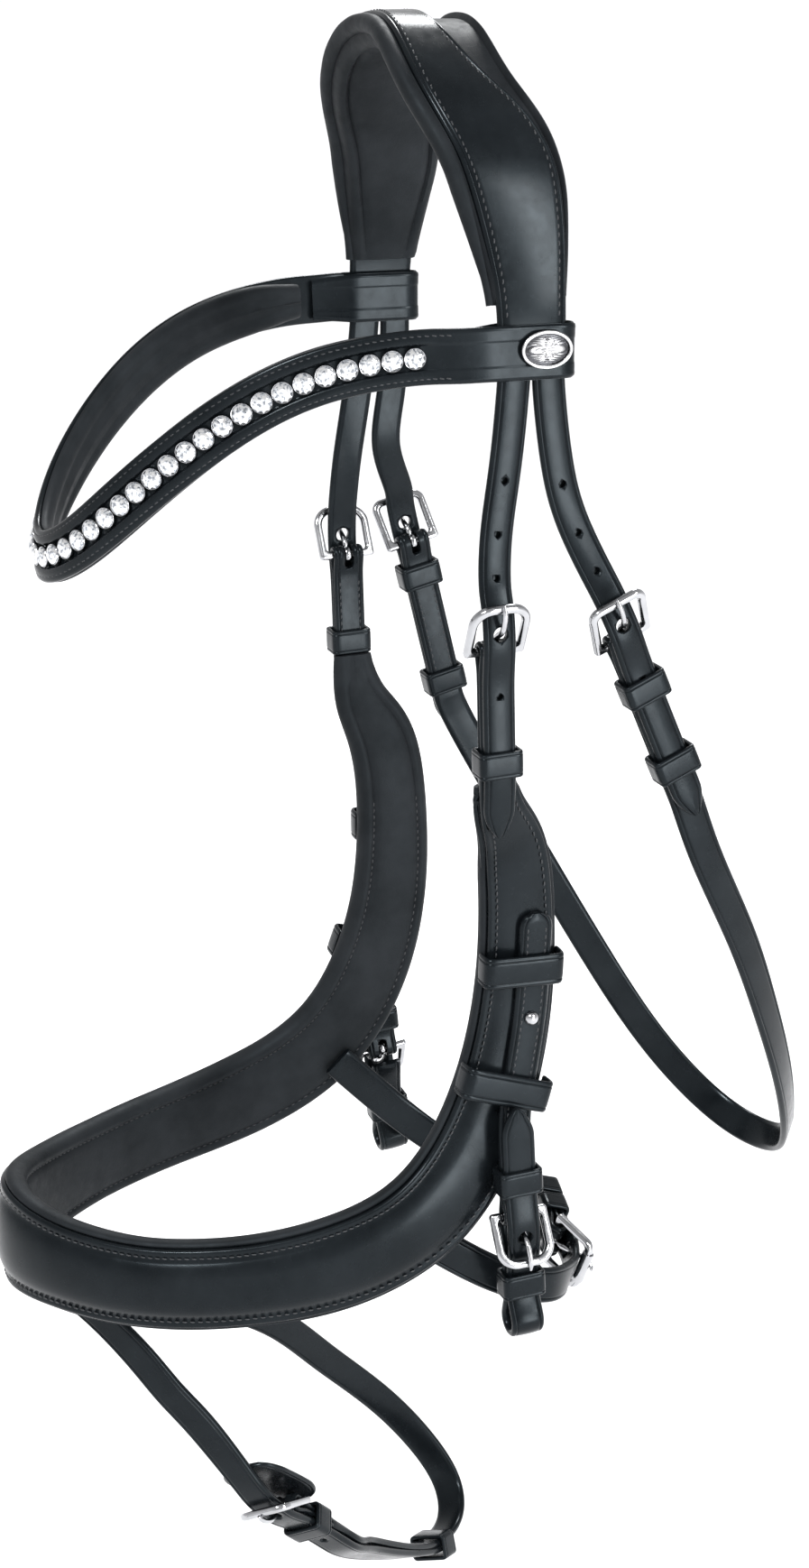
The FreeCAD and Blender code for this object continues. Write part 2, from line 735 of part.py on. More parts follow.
def browband():
    line = Line(round_trip(BROW_HALF))
    height, thick = dim("brow_height"), dim("brow_leather_thick")
    frames = line.frames(SPACING)
    feature("browband_leather", band(frames, height / 2, height / 2, -thick / 2, thick / 2))
    high = -thick / 2 - dim("layer_gap")
    pad_frames = line.frames(SPACING, 0.05, 0.95)
    half = height / 2 + 0.6
    low = high - dim("brow_pad_thick")
    feature("browband_pad", band(pad_frames, half, half, low, high))
    crystals(line)
    for side, sign in (("left", 1), ("right", -1)):
        turn = Rotation(Vector(0, sign, 0), Vector(0, 0, 1), Vector(sign, 0, 0), "XYZ")
        place = Placement(Vector(sign * LOOP_PLACE.x, LOOP_PLACE.y, LOOP_PLACE.z), turn)
        keeper(f"browband_loop_{side}", place, "25.4", "-Dimensions.crown_thick / 2 - 1.2",
               "Dimensions.crown_thick / 2 + 0.3", "Dimensions.brow_height")
    badge("badge", Placement(BADGE_PLACE, FACING_LEFT))


def crystals(line):
    """A metal strip along the browband with a round crystal setting on it at every pitch."""
    frames = line.frames(1.0)
    length = line_length(frames)
    count = int(dim("crystal_count"))
    base = dim("brow_leather_thick") / 2 + 0.05
    reach = dim("crystal_pitch") * (count - 1) / 2 + dim("crystal_radius")
    start = 0.5 - reach / length
    strip = band(line.frames(SPACING / 2, start, 1 - start), 1.6, 1.6, base, base + 0.8)
    cups = []
    for i in range(count):
        share = 0.5 + (i - (count - 1) / 2) * dim("crystal_pitch") / length
        point, along, facing = line.frames(SPACING, share, min(1.0, share + 0.01))[0]
        radius = dim("crystal_radius")
        cup = Part.makeCylinder(radius, 2.0, point + facing * (base + 0.1), facing)
        top = point + facing * (base + 2.1)
        cone = Part.makeCone(radius, radius * 0.55, 0.9, top, facing)
        cups += [cup, cone]
    feature("crystal_strip", strip.multiFuse(cups))


def noseband():
    line = Line(round_trip(NOSE_HALF))
    thick = dim("nose_leather_thick")
    frames = line.frames(SPACING)
    front = half_and_back([w - NOSE_EDGE if i else w for i, w in enumerate(NOSE_FRONT_WIDTHS)])
    back = half_and_back([w - NOSE_EDGE if i else w for i, w in enumerate(NOSE_BACK_WIDTHS)])
    leaves = LEAF + dim("leaf_thick") / 2
    high = half_and_back([leaves] + [thick / 2] * 10)
    low = half_and_back([-leaves] + [-thick / 2] * 10)
    shape = band(frames, front, back, low, high)
    for side in ("left", "right"):
        site = SITES[f"cheek_{side}"]
        shape = shape.fuse(turned(site, CHEEK_TURN, CHEEK_TURN, 2 * NOSE_FRONT_WIDTHS[0]))
    for sign in (1, -1):
        place = Placement(Vector(sign * (STUD_PLACE.x - 3.5), STUD_PLACE.y, STUD_PLACE.z), FACING_LEFT)
        shape = punch(shape, place, dim("stud_shank") + 0.15, 8)
    feature("noseband_leather", shape)
    under = [-leaves - 0.3] + [-thick / 2 - dim("layer_gap")] * 10
    pad_frames = line.frames(SPACING, 0.005, 0.995)
    deep = [3.0] + [dim("nose_pad_thick")] * 10
    feature("noseband_pad", band(
        pad_frames, half_and_back([6.5] + NOSE_FRONT_WIDTHS[1:]),
        half_and_back([6.5] + NOSE_BACK_WIDTHS[1:]),
        half_and_back([u - d for u, d in zip(under, deep)]), half_and_back(under)))
    return line


def side_keeper(label, line, share, room_above, mirror):
    """A strip across the cheek leather that holds the bit strap, its ends turned down beside it."""
    point, along, facing = line.frames(SPACING, share, share + 0.01)[0]
    side = along.cross(facing)
    reach = 2 * share * (len(NOSE_FRONT_WIDTHS) - 1)
    index = int(reach)
    part = reach - index
    front = NOSE_FRONT_WIDTHS[index] * (1 - part) + NOSE_FRONT_WIDTHS[index + 1] * part
    back = NOSE_BACK_WIDTHS[index] * (1 - part) + NOSE_BACK_WIDTHS[index + 1] * part
    wall = dim("keeper_wall")
    low = -dim("nose_leather_thick") / 2
    high = dim("nose_leather_thick") / 2 + dim("layer_gap") + dim("strap_thick") + room_above
    left, right = front - NOSE_EDGE + 0.9, back - NOSE_EDGE + room_above
    outer = [(left + wall, low), (left + wall, high), (left + wall - 1.5, high + wall),
             (-right - wall + 1.5, high + wall), (-right - wall, high), (-right - wall, low)]
    inner = [(-right, low), (-right, high - 0.2), (-right + 1, high),
             (left - 1, high), (left, high - 0.2), (left, low)]
    spots = [point + side * s + facing * n for s, n in outer + inner]
    face = Part.Face(Part.makePolygon(spots + [spots[0]]))
    shape = face.extrude(along * dim("keeper_height") * 1.25)
    shape.translate(along * (-dim("keeper_height") * 0.625))
    if mirror:
        shape = shape.mirror(Vector(), Vector(1, 0, 0))
    feature(label, shape)


def bit_hanger(side):
    """The strap down the cheek, turned round the bit buckle's bar."""
    site = SITES[f"bit_{side}"]
    rows = HANGER_HALF if side == "left" else mirrored(HANGER_HALF)
    rows = rows + [site.station(-22, 0.2), site.station(-17, 0)]
    frames = Line(rows).frames(FINE)
    half = dim("bit_width") / 2
    leaves = LEAF + dim("leaf_thick") / 2
    thick = shares([dim("strap_thick") / 2] * 5 + [leaves])
    rounded = shares([half * 0.6] + [half] * 24)
    shape = band(frames, rounded, rounded, lambda u: -thick(u), thick)
    shape = shape.fuse(turned(site, 18, 18, dim("bit_width")))
    sign = 1 if side == "left" else -1
    place = Placement(Vector(sign * STUD_PLACE.x, STUD_PLACE.y, STUD_PLACE.z), FACING_LEFT)
    shape = punch(shape, place, dim("stud_shank") + 0.15, 8)
    feature(f"bit_hanger_{side}", shape)


def bit_strap(side):
    """The strap round the bit ring: tip, over the bar, under the front, the eye, and back up."""
    site = SITES[f"bit_{side}"]
    thick = dim("strap_thick")
    ring = dim("bit_bore") + thick / 2
    eye_t, eye_n = 41.0, 0.3
    steps = [(-42, OVER_LEAF), (-30, OVER_LEAF), (-18, OVER_LEAF), (-9, OVER_LEAF + 0.35),
             (0, OVER_BAR), (TONGUE_HOLE, 5.3), (15.5, 3.9), (21, 2.2), (27, 1.7), (31.5, 1.85)]
    rows = [(*site.spot(t, n), *site.z) for t, n in steps]
    turn = []
    for i in range(13):
        angle = math.radians(28 - 236 * i / 12)
        way = site.z * math.cos(angle) - site.y * math.sin(angle)
        turn.append((*(site.spot(eye_t, eye_n) + way * ring), *way))
    rows += turn
    back = [(31.5, -1.6), (27, -1.65), (19, -1.8), (9, -4.3), (4.5, -5.3)]
    rows += [(*site.spot(t, n), *(-site.z)) for t, n in back]
    frames = Line(rows).frames(1.5)
    half = dim("bit_width") / 2
    length = line_length(frames)

    def size(u):
        return half * min(1.0, 0.35 + 0.65 * u * length / 9)

    shape = band(frames, size, size, -thick / 2, thick / 2)
    shape = punch(shape, site.placement(TONGUE_HOLE, 5), dim("pinned_radius"), 5)
    drill = Part.makeCylinder(dim("bit_bore"), 30, Vector(-15, 0, 0), Vector(1, 0, 0))
    drill.Placement = site.placement(eye_t, eye_n)
    feature(f"bit_strap_{side}", shape.cut(drill))


def throat_strap():
    """The throatlatch, turned round a buckle bar at each end."""
    left, right = SITES["throat_left"], SITES["throat_right"]
    near, far = 1 - THROAT_TURN["left"], 1 - THROAT_TURN["right"]
    rows = [left.station(near, 0), left.station(near - 5, 0), left.station(near - 13, -0.4)]
    rows += THROAT_FREE
    rows += [right.station(far - 5, 0), right.station(far, 0)]
    frames = Line(rows).frames(SPACING)
    leaves = LEAF + dim("leaf_thick") / 2
    high = shares([leaves] + [dim("strap_thick") / 2] * 18 + [leaves])
    half = dim("strap_width") / 2 + 0.5
    shape = band(frames, half, half, lambda u: -high(u), high)
    for side, site in (("left", left), ("right", right)):
        shape = shape.fuse(turned(site, THROAT_TURN[side], THROAT_TURN[side], 2 * half))
    feature("throat_strap", shape)


def flash_strap():
    """One strap: tip, buckle, near side, through the loop, far side, and turned round the bar."""
    site = SITES["flash"]
    thick, half = dim("strap_thick"), dim("flash_width") / 2
    way_in = FLASH_TIP + [site.station(-40, OVER_LEAF), site.station(-28, OVER_LEAF)]
    way_in += [site.station(-17, OVER_LEAF), site.station(-9, OVER_LEAF + 0.35)]
    way_in += [site.station(0, OVER_BAR), site.station(TONGUE_HOLE, 5.3)]
    way_in += [site.station(15.5, 4.1), site.station(24, 1.5)]
    end = [site.station(-43, 0), site.station(-36, 0), site.station(-28, 0), site.station(-23, 0)]
    frames = Line(way_in + FLASH_FRONT + end).frames(FINE)
    length = line_length(frames)

    def size(u):
        return half * min(1.0, 0.35 + 0.65 * u * length / 9)

    shape = band(frames, size, size, -thick / 2, thick / 2)
    shape = punch(shape, site.placement(TONGUE_HOLE, 5), dim("pinned_radius"), 5)
    shape = shape.fuse(turned(site, 24, 24, 2 * half))
    feature("flash_strap", shape)
    under = frames[len(frames) // 2:]
    point, along, facing = min(under, key=lambda f: f[0].distanceToPoint(FLASH_END_KEEPER))
    turn = Rotation(along.cross(facing), along, facing, "XYZ")
    keeper("flash_keeper_outer", Placement(point, turn), "Dimensions.flash_width",
           "-Dimensions.strap_thick / 2 - 0.2", str(KEEPER_HIGH))


def flash_guard():
    """A rounded leather flap behind the flash buckle."""
    site = SITES["flash"]
    rows = [site.station(-8, -5.2), site.station(6, -5.4), site.station(20, -4.6)]
    frames = Line(rows + [site.station(30, -4.4)]).frames(FINE)
    width = shares([11, 13, 13.5, 13.5, 12.5, 8])
    feature("flash_guard", band(frames, width, width, -0.9, 0.9))


def chin_straps():
    site = SITES["chin"]
    thick, half = dim("strap_thick"), dim("chin_width") / 2
    rows = CHIN_FAR + [site.station(-40, -0.4), site.station(-30, 0), site.station(-25, 0)]
    frames = Line(rows).frames(FINE)
    shape = band(frames, half, half, -thick / 2, thick / 2)
    shape = shape.fuse(turned(site, 26, 26, 2 * half))
    feature("chin_strap_far", shape)
    way = [site.station(-32, OVER_LEAF), site.station(-25, OVER_LEAF), site.station(-17, OVER_LEAF)]
    way += [site.station(-9, OVER_LEAF + 0.35), site.station(0, OVER_BAR)]
    way += [site.station(TONGUE_HOLE, 5.3), site.station(15.5, 3.7), site.station(22, 1.0)]
    frames = Line(way + CHIN_NEAR).frames(2.0)
    length = line_length(frames)

    def size(u):
        return half * min(1.0, 0.35 + 0.65 * u * length / 9)

    shape = band(frames, size, size, -thick / 2, thick / 2)
    shape = punch(shape, site.placement(TONGUE_HOLE, 5), dim("pinned_radius"), 5)
    feature("chin_strap_near", shape)


def site_keeper(label, site, t, width, low=KEEPER_LOW, high=KEEPER_HIGH):
    keeper(label, site.placement(t), f"Dimensions.{width}", str(low), str(high))


# ---------------------------------------------------------------- the bridle

headpiece()
browband()
NOSE_LINE = noseband()
for SIDE in ("left", "right"):
    CHEEK_SITE, THROAT_SITE = SITES[f"cheek_{SIDE}"], SITES[f"throat_{SIDE}"]
    TOP = CHEEK_BILLET_TOP if SIDE == "left" else mirrored(CHEEK_BILLET_TOP)
    billet(f"cheek_billet_{SIDE}", TOP, CHEEK_SITE, CHEEK_REACH, 1.4, CHEEK_HOLES[SIDE])
    billet(f"throat_billet_{SIDE}", THROAT_BILLET_TOPS[SIDE], THROAT_SITE, THROAT_REACH[SIDE], 3.9,
           THROAT_HOLES[SIDE])
    for NAME in ("cheek", "throat", "bit"):
        buckle_frame(f"{NAME}_frame_{SIDE}", SITES[f"{NAME}_{SIDE}"], CORNERS[NAME])
        tongue(f"{NAME}_tongue_{SIDE}", SITES[f"{NAME}_{SIDE}"])
    site_keeper(f"cheek_keeper_{SIDE}", CHEEK_SITE, CHEEK_KEEPER[SIDE], "strap_width + 0.5")
    UPPER, LOWER = SIDE_KEEPERS[SIDE]
    side_keeper(f"side_keeper_upper_{SIDE}", NOSE_LINE, UPPER, 1.0, SIDE == "right")
    side_keeper(f"side_keeper_lower_{SIDE}", NOSE_LINE, LOWER, 2.0, SIDE == "right")
    bit_hanger(SIDE)
    bit_strap(SIDE)
    site_keeper(f"bit_keeper_upper_{SIDE}", SITES[f"bit_{SIDE}"], -14, "bit_width")
    site_keeper(f"bit_keeper_lower_{SIDE}", SITES[f"bit_{SIDE}"], 27, "bit_width", -3.1, 3.2)
    UPPER, LOWER = THROAT_KEEPERS[SIDE]
    site_keeper(f"throat_keeper_upper_{SIDE}", THROAT_SITE, UPPER, "strap_width + 1.0")
    site_keeper(f"throat_keeper_{SIDE}", THROAT_SITE, LOWER, "strap_width + 1.0")
throat_strap()
flash_strap()
flash_guard()
chin_straps()
for NAME, LIFT, PLACE in (("flash", 0.0, -15), ("chin", 0.9, -14)):
    buckle_frame(f"{NAME}_frame", SITES[NAME], CORNERS[NAME])
    tongue(f"{NAME}_tongue", SITES[NAME], LIFT)
    site_keeper(f"{NAME}_keeper_inner", SITES[NAME], PLACE, f"{NAME}_width")
site_keeper("chin_keeper_outer", SITES["chin"], -25, "chin_width")
roller("chin_roller", SITES["chin"])
STUD_FACE = STUD_PLACE.x + dim("strap_thick") / 2 + 0.15
studs("hook_studs", [
    Placement(Vector(SIGN * STUD_FACE, STUD_PLACE.y, STUD_PLACE.z),
              Rotation(Vector(0, SIGN, 0), Vector(0, 0, 1), Vector(SIGN, 0, 0), "XYZ"))
    for SIGN in (1, -1)
])
LOOP_TURN = Rotation(Vector(0, 0, 1), Vector(1, 0, 0), Vector(0, 1, 0), "XYZ")
keeper("flash_loop", Placement(FLASH_LOOP_PLACE, LOOP_TURN), "Dimensions.flash_width + 2.0",
       "-Dimensions.strap_thick / 2 - 1.0", "Dimensions.strap_thick / 2 + 1.3", "8")

DOC.recompute()
os.makedirs("parts", exist_ok=True)
PIECES = [o for o in DOC.Objects if o.TypeId in ("Part::Feature", "PartDesign::Body")]
for ITEM in DOC.Objects:
    if "Invalid" in ITEM.State or "Error" in ITEM.State:
        raise SystemExit(f"{ITEM.Label} failed")
for ITEM in PIECES:
    if ITEM.Shape.isNull() or not ITEM.Shape.isValid():
        raise SystemExit(f"{ITEM.Label} is not a valid shape")
    print(ITEM.Label, len(ITEM.Shape.Solids), round(ITEM.Shape.Volume))
for ITEM in PIECES:
    ITEM.Shape.exportStep(f"parts/{ITEM.Label}.step")
print(len(PIECES), "pieces")
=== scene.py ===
"""The looks of a padded snaffle bridle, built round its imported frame.

Lengths are millimetres in the row frame until a mesh is made, and metres from there on."""
import json
import math

import bmesh
import bpy
import numpy as np
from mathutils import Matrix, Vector


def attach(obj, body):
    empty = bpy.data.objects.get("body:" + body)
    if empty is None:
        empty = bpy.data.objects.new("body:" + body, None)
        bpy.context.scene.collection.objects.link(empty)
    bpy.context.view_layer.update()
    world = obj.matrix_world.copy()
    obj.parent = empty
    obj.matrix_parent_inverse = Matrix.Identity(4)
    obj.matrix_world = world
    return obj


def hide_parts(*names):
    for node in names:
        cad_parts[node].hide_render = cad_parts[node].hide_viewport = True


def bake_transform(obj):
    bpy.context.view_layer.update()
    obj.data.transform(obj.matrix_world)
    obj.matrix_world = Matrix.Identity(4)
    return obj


MM = 0.001
SHARP_ANGLE = math.radians(48)
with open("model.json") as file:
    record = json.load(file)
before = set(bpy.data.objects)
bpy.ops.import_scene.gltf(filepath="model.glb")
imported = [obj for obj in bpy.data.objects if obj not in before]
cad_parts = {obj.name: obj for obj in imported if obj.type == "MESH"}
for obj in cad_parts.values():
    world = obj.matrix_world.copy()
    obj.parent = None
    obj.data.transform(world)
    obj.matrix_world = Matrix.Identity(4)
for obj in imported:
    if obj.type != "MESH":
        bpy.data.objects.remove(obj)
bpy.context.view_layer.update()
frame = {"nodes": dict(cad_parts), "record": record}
BODY_OF = {n: b for b, ns in frame["record"]["behaviour"]["bodies"].items() for n in ns}
SIDES = (("left", 1), ("right", -1))

# -------- sizes shared with the frame

STRAP, STRAP_THICK, BIT, FLASH, CHIN = 11.5, 2.8, 12.5, 12.5, 13.5
LEAF, LEAF_THICK, OVER_LEAF, OVER_BAR, TONGUE_HOLE = 1.05, 1.9, 3.65, 5.15, 6.9
WALL, ROOM, KEEPER_LOW, KEEPER_HIGH, KEEPER_HEIGHT = 1.6, 0.35, -2.0, 5.05, 9.3
FRAME_LENGTH, TILT, WIRE, TONGUE_WIDTH, BAR_ROOM = 18.0, math.radians(27.5), 3.0, 2.2, 1.75
NOSE_EDGE, NOSE_THICK, CROWN_THICK, BROW_HEIGHT, BROW_THICK = 1.2, 2.8, 2.8, 18.0, 2.4
PINNED_RADIUS, SPARE_RADIUS, BIT_BORE = 2.65, 1.25, 3.6
BLIND = 2.1  # how far a spare hole's cutter is held up, so that the hole doesn't go through
SEAM, FINE_SEAM = 2.9, 2.2  # how far stitches lie from an edge
HALF_THICK = STRAP_THICK / 2


# -------- lines that leather follows


class Course:
    """Evenly spaced points with the ways along, across and out of the leather at each."""

    def __init__(self, points, facing):
        self.p = np.asarray(points, float)
        self.along = unit(np.gradient(self.p, axis=0))
        facing = facing - self.along * np.sum(facing * self.along, axis=1, keepdims=True)
        self.face = unit(facing)
        self.side = np.cross(self.along, self.face)
        steps = np.linalg.norm(np.diff(self.p, axis=0), axis=1)
        self.d = np.concatenate([[0.0], np.cumsum(steps)])
        self.length = self.d[-1]
        self.u = self.d / self.length
        self.from_ends = np.minimum(self.d, self.length - self.d)

    def at(self, distance, across=0.0, out=0.0):
        """A point on the course, and its three ways."""
        rows = [self.p, self.along, self.side, self.face]
        p, along, side, face = (
            np.array([np.interp(distance, self.d, r[:, c]) for c in range(3)]) for r in rows)
        along, face = unit(along), unit(face)
        side = np.cross(along, face)
        return p + side * across + face * out, along, side, face


def unit(v):
    return v / np.linalg.norm(v, axis=-1, keepdims=True)


def circle(count):
    """Angles evenly round a circle."""
    return np.linspace(0, 2 * math.pi, count, endpoint=False)


class Line:
    """A smooth line through stations: x, y, z, then the way the leather faces."""

    def __init__(self, stations):
        self.rows = np.array(stations, float)
        gap = np.sqrt(np.linalg.norm(np.diff(self.rows[:, :3], axis=0), axis=1))
        self.knots = np.concatenate([[0.0], np.cumsum(gap)])
        count = len(self.rows)
        matrix, jump = np.eye(count), np.zeros_like(self.rows)
        for i in range(1, count - 1):
            a, b = gap[i - 1], gap[i]
            matrix[i, i - 1:i + 2] = a, 2 * (a + b), b
            before, after = self.rows[i] - self.rows[i - 1], self.rows[i + 1] - self.rows[i]
            jump[i] = 6 * (after / b - before / a)
        self.bend = np.linalg.solve(matrix, jump)

    def row(self, u):
        t = np.clip(u, 0, 1) * self.knots[-1]
        i = np.clip(np.searchsorted(self.knots, t, side="right") - 1, 0, len(self.knots) - 2)
        h = (self.knots[i + 1] - self.knots[i])[:, None]
        b = (t - self.knots[i])[:, None] / h
        a = 1 - b
        curve = (a**3 - a) * self.bend[i] + (b**3 - b) * self.bend[i + 1]
        return a * self.rows[i] + b * self.rows[i + 1] + curve * h * h / 6

    def course(self, step=2.0, start=0.0, end=1.0):
        """From share start to share end of the line's length."""
        u = np.linspace(0, 1, 2400)
        fine = self.row(u)
        gap = np.linalg.norm(np.diff(fine[:, :3], axis=0), axis=1)
        length = np.concatenate([[0.0], np.cumsum(gap)])
        count = max(3, round(length[-1] * (end - start) / step))
        wanted = length[-1] * np.linspace(start, end, count + 1)
        rows = self.row(np.interp(wanted, length, u))
        return Course(rows[:, :3], rows[:, 3:6])


def mirrored(stations):
    return [(-x, y, z, -fx, fy, fz) for x, y, z, fx, fy, fz in stations]


def round_trip(half):
    """A half that ends on the middle plane, carried on to the other side."""
    return half + mirrored(half[:-1])[::-1]


class Site:
    """A buckle's place. X runs along its bar, Y to the frame's front and Z outward."""

    def __init__(self, origin, ahead, outward):
        self.origin = np.array(origin, float)
        self.y = unit(np.array(ahead, float))
        out = np.array(outward, float)
        self.z = unit(out - self.y * (out @ self.y))
        self.x = np.cross(self.y, self.z)

    def spot(self, t, n, across=0.0):
        return self.origin + self.x * across + self.y * t + self.z * n

    def station(self, t, n, ahead=0.0, out=1.0):
        return (*self.spot(t, n), *(self.y * ahead + self.z * out))

    def stations(self, *pairs):
        return [self.station(t, n) for t, n in pairs]

    def through(self, back, *front):
        """Over the turned end at each distance back, over the bar, then at each place in front."""
        over = [(t, OVER_LEAF) for t in back]
        return self.stations(*over, (-9, OVER_LEAF + 0.35), (0, OVER_BAR), (TONGUE_HOLE, 5.3), *front)

    def mirrored(self):
        flip = np.array([-1.0, 1.0, 1.0])
        return Site(self.origin * flip, self.y * flip, self.z * flip)


CHEEK_SITE = Site((76.5, -2, -191), (0, -0.03, 1), (1, 0, 0.02))
SITES = {
    "cheek_left": CHEEK_SITE,
    "cheek_right": CHEEK_SITE.mirrored(),
    "throat_left": Site((79, 44, -190.4), (0, -0.40, 0.916), (1, 0, 0)),
    "throat_right": Site((-79, 26, -188.5), (0, -0.236, 0.972), (-1, 0, 0)),
    "bit_left": Site((79.5, 8.5, -401), (0.05, 0.04, -1), (1, 0, 0.05)),
    "bit_right": Site((-79.5, 12.5, -403), (-0.05, 0.12, -1), (-1, 0, 0.05)),
    "flash": Site((41.5, -69, -529), (0.27, -0.66, 0.70), (0.74, -0.2, -0.62)),
    "chin": Site((32, 43.5, -441), (0.95, -0.16, -0.16), (0.11, 0.93, -0.27)),
}
CROWN_HALF = [
    (74.3, 11, -95.5, 1, 0, 0), (74.3, 11, -87, 1, 0, 0.02), (71.5, 11, -69, 1, 0, 0.25),
    (65.5, 10, -48, 1, 0, 0.5), (56, 7, -27, 0.85, 0, 0.7), (41, 0, -8, 0.6, 0, 0.85),
    (21, -3, 7.5, 0.3, 0, 1), (0, -3, 11.5, 0, 0, 1),
]
NOSE_HALF = [
    (76.5, -0.7, -235, 1, 0, 0.02), (75.2, 2.2, -249, 1, 0, 0), (70.8, 8.5, -264, 1, 0, 0),
    (68.4, 12, -297, 1, 0, 0), (68.2, 10, -330, 1, 0, 0), (69.6, 3, -358, 1, 0, 0),
    (72.6, -10, -383, 1, -0.05, 0), (75.4, -31, -402, 1, -0.08, 0),
    (73.4, -65, -414, 0.95, -0.25, 0), (62.5, -104, -419, 0.8, -0.55, 0),
    (39, -140, -420, 0.45, -0.85, 0), (0, -161.5, -418, 0, -1, 0),
]
BROW_HALF = [
    (72.5, -28, -92.5, 1, -0.22, 0), (65, -60, -98.5, 1, -0.3, 0),
    (55.5, -91, -115, 0.9, -0.45, 0), (40, -117, -139, 0.7, -0.7, 0),
    (21.5, -132, -157, 0.4, -0.9, 0), (0, -138, -164, 0, -1, 0),
]
BROW_START = (78.3, -4.6, -92, 1, -0.15, 0)
BROW_LOOP = [
    (73.3, -16, -92.4, -1, 0.1, 0), (72.1, -8, -92.1, -1, 0.1, 0), (70.7, -1, -92, -1, 0, 0),
    (70.5, 5, -92, -1, 0, 0),
    (70.5, 14, -92, -1, 0, 0), (70.6, 22.5, -92, -1, 0.2, 0), (71.8, 24.7, -92, -0.6, 0.8, 0),
    (73.8, 25.3, -92, 0, 1, 0), (75.9, 24.7, -92, 0.6, 0.8, 0), (77.1, 22.5, -92, 1, 0.2, 0),
    (77.2, 14, -92, 1, 0, 0), (77.3, 4, -92, 1, 0, 0), (77.2, -5, -92, 1, -0.05, 0),
    (75.8, -15, -92.2, 1, -0.18, 0),
]
LOOP_END = np.array([77.2, 4, -92])
CHEEK_BILLET_TOP = [
    (74.3, 5.1, -96, 1, 0, 0), (74.3, 4.7, -103, 1, 0, 0), (75.2, 2, -128, 1, 0, 0),
    (76.3, -1.5, -152, 1, 0, 0),
]
THROAT_BILLET_TOPS = {
    "left": [(74.3, 16.9, -96, 1, 0, 0), (74.3, 17.2, -103, 1, 0, 0), (75.5, 20, -128, 1, 0, 0),
             (77, 26, -150, 1, 0, 0)],
    "right": [(-74.3, 16.9, -96, -1, 0, 0), (-74.3, 17.0, -103, -1, 0, 0),
              (-75.5, 16, -128, -1, 0, 0), (-77, 14.5, -150, -1, 0, 0)],
}
THROAT_FREE = [
    (77.5, 79, -272, 1, 0.05, 0), (71, 98, -308, 1, 0.2, 0), (62, 114, -341, 0.95, 0.4, 0),
    (48, 131, -378, 0.8, 0.65, -0.1), (27, 146, -411, 0.45, 0.85, -0.35),
    (2, 154, -430, 0.1, 0.85, -0.6), (-26, 147, -431, -0.45, 0.75, -0.5),
    (-49, 126, -407, -0.8, 0.5, -0.2), (-63, 102, -367, -0.95, 0.25, 0),
    (-71, 79, -325, -1, 0.1, 0), (-76.5, 58, -286, -1, 0, 0),
]
HANGER_HALF = [
    (72.0, 17, -289, 1, 0, 0), (71.8, 16.5, -305, 1, 0, 0), (71.8, 15, -328, 1, 0, 0),
    (72.9, 11.3, -350, 1, 0, 0), (74.4, 8.9, -366, 1, 0, 0),
]
FLASH_FRONT = [
    (42.5, -101, -488, 0.9, -0.35, -0.2), (39, -112, -473, 0.9, -0.45, -0.1),
    (34, -121, -460, 0.85, -0.55, 0), (24, -134, -445, 0.7, -0.75, 0),
    (12, -143.8, -438, 0.3, -0.95, 0), (0, -147.5, -436.5, 0, -1, 0),
    (-12, -143.2, -440, -0.4, -0.9, 0), (-22, -118, -455, -0.85, -0.5, 0),
    (-30, -83, -475, -0.9, -0.25, 0), (-37, -50, -496, -1, -0.1, 0),
    (-44, -26, -521, -1, 0, 0), (-48, -1, -547.5, -1, 0.15, 0),
    (-46, 18, -571.5, -0.9, 0.4, -0.1), (-38, 27, -589, -0.75, 0.6, -0.3),
    (-26, 24, -598, -0.4, 0.7, -0.6), (-9, 7, -596.5, -0.1, 0.5, -0.85),
    (9, -17.5, -580.5, 0.25, 0.3, -0.9), (21, -33, -567.5, 0.55, 0.1, -0.8),
]
FLASH_TIP = [
    (-20, 19.5, -601.2, -0.3, 0.65, -0.7), (-9.4, 8.7, -599.5, -0.1, 0.5, -0.85),
    (9.9, -16.4, -583.7, 0.25, 0.3, -0.9), (22.9, -32.6, -570.3, 0.55, 0.1, -0.8),
]
FLASH_END_KEEPER = (-13, 11, -597.6)
CHIN_FAR = [
    (-63, -12, -398, -1, 0, 0), (-64, 4, -415, -1, 0, 0), (-61, 24, -434, -0.95, 0.3, 0),
    (-47, 43, -447, -0.7, 0.7, 0), (-27, 53, -449, -0.25, 1, 0),
]
CHIN_NEAR = [
    (65.5, 29, -441, 0.8, 0.6, 0), (67.5, 12, -435, 1, 0.1, 0), (65.5, -8, -423, 1, 0, 0),
    (63.5, -24, -411, 1, 0, 0),
]
# How far down a billet its spare holes are, how far past the buckle's bar its tip lies, and how long the
# end of the leather below is turned back from that bar.
HOLES = {("cheek", "left"): (31, 49, 63.5), ("cheek", "right"): (8.5, 25.5, 44.5),
         ("throat", "left"): (33.5, 51, 65.5), ("throat", "right"): (11.5, 30, 48)}
REACH = {("cheek", "left"): 56, ("cheek", "right"): 56, ("throat", "left"): 61, ("throat", "right"): 70}
TURN = {("cheek", "left"): 46, ("cheek", "right"): 46, ("throat", "left"): 55, ("throat", "right"): 64}
# Keepers: millimetres from the bar, then shares of the noseband's length.
CHEEK_KEEPER = {"left": -39, "right": -34.5}
THROAT_KEEPERS = {"left": (-19, -50), "right": (-14, -59)}
SIDE_KEEPERS = {"left": (0.1104, 0.1747), "right": (0.0965, 0.1747)}
STUD_PLACE, FLASH_LOOP_PLACE = np.array([71.8, 15.0, -328.0]), np.array([0, -147.3, -437.0])
BADGE_PLACE = np.array([78.0, 14.3, -91.0])
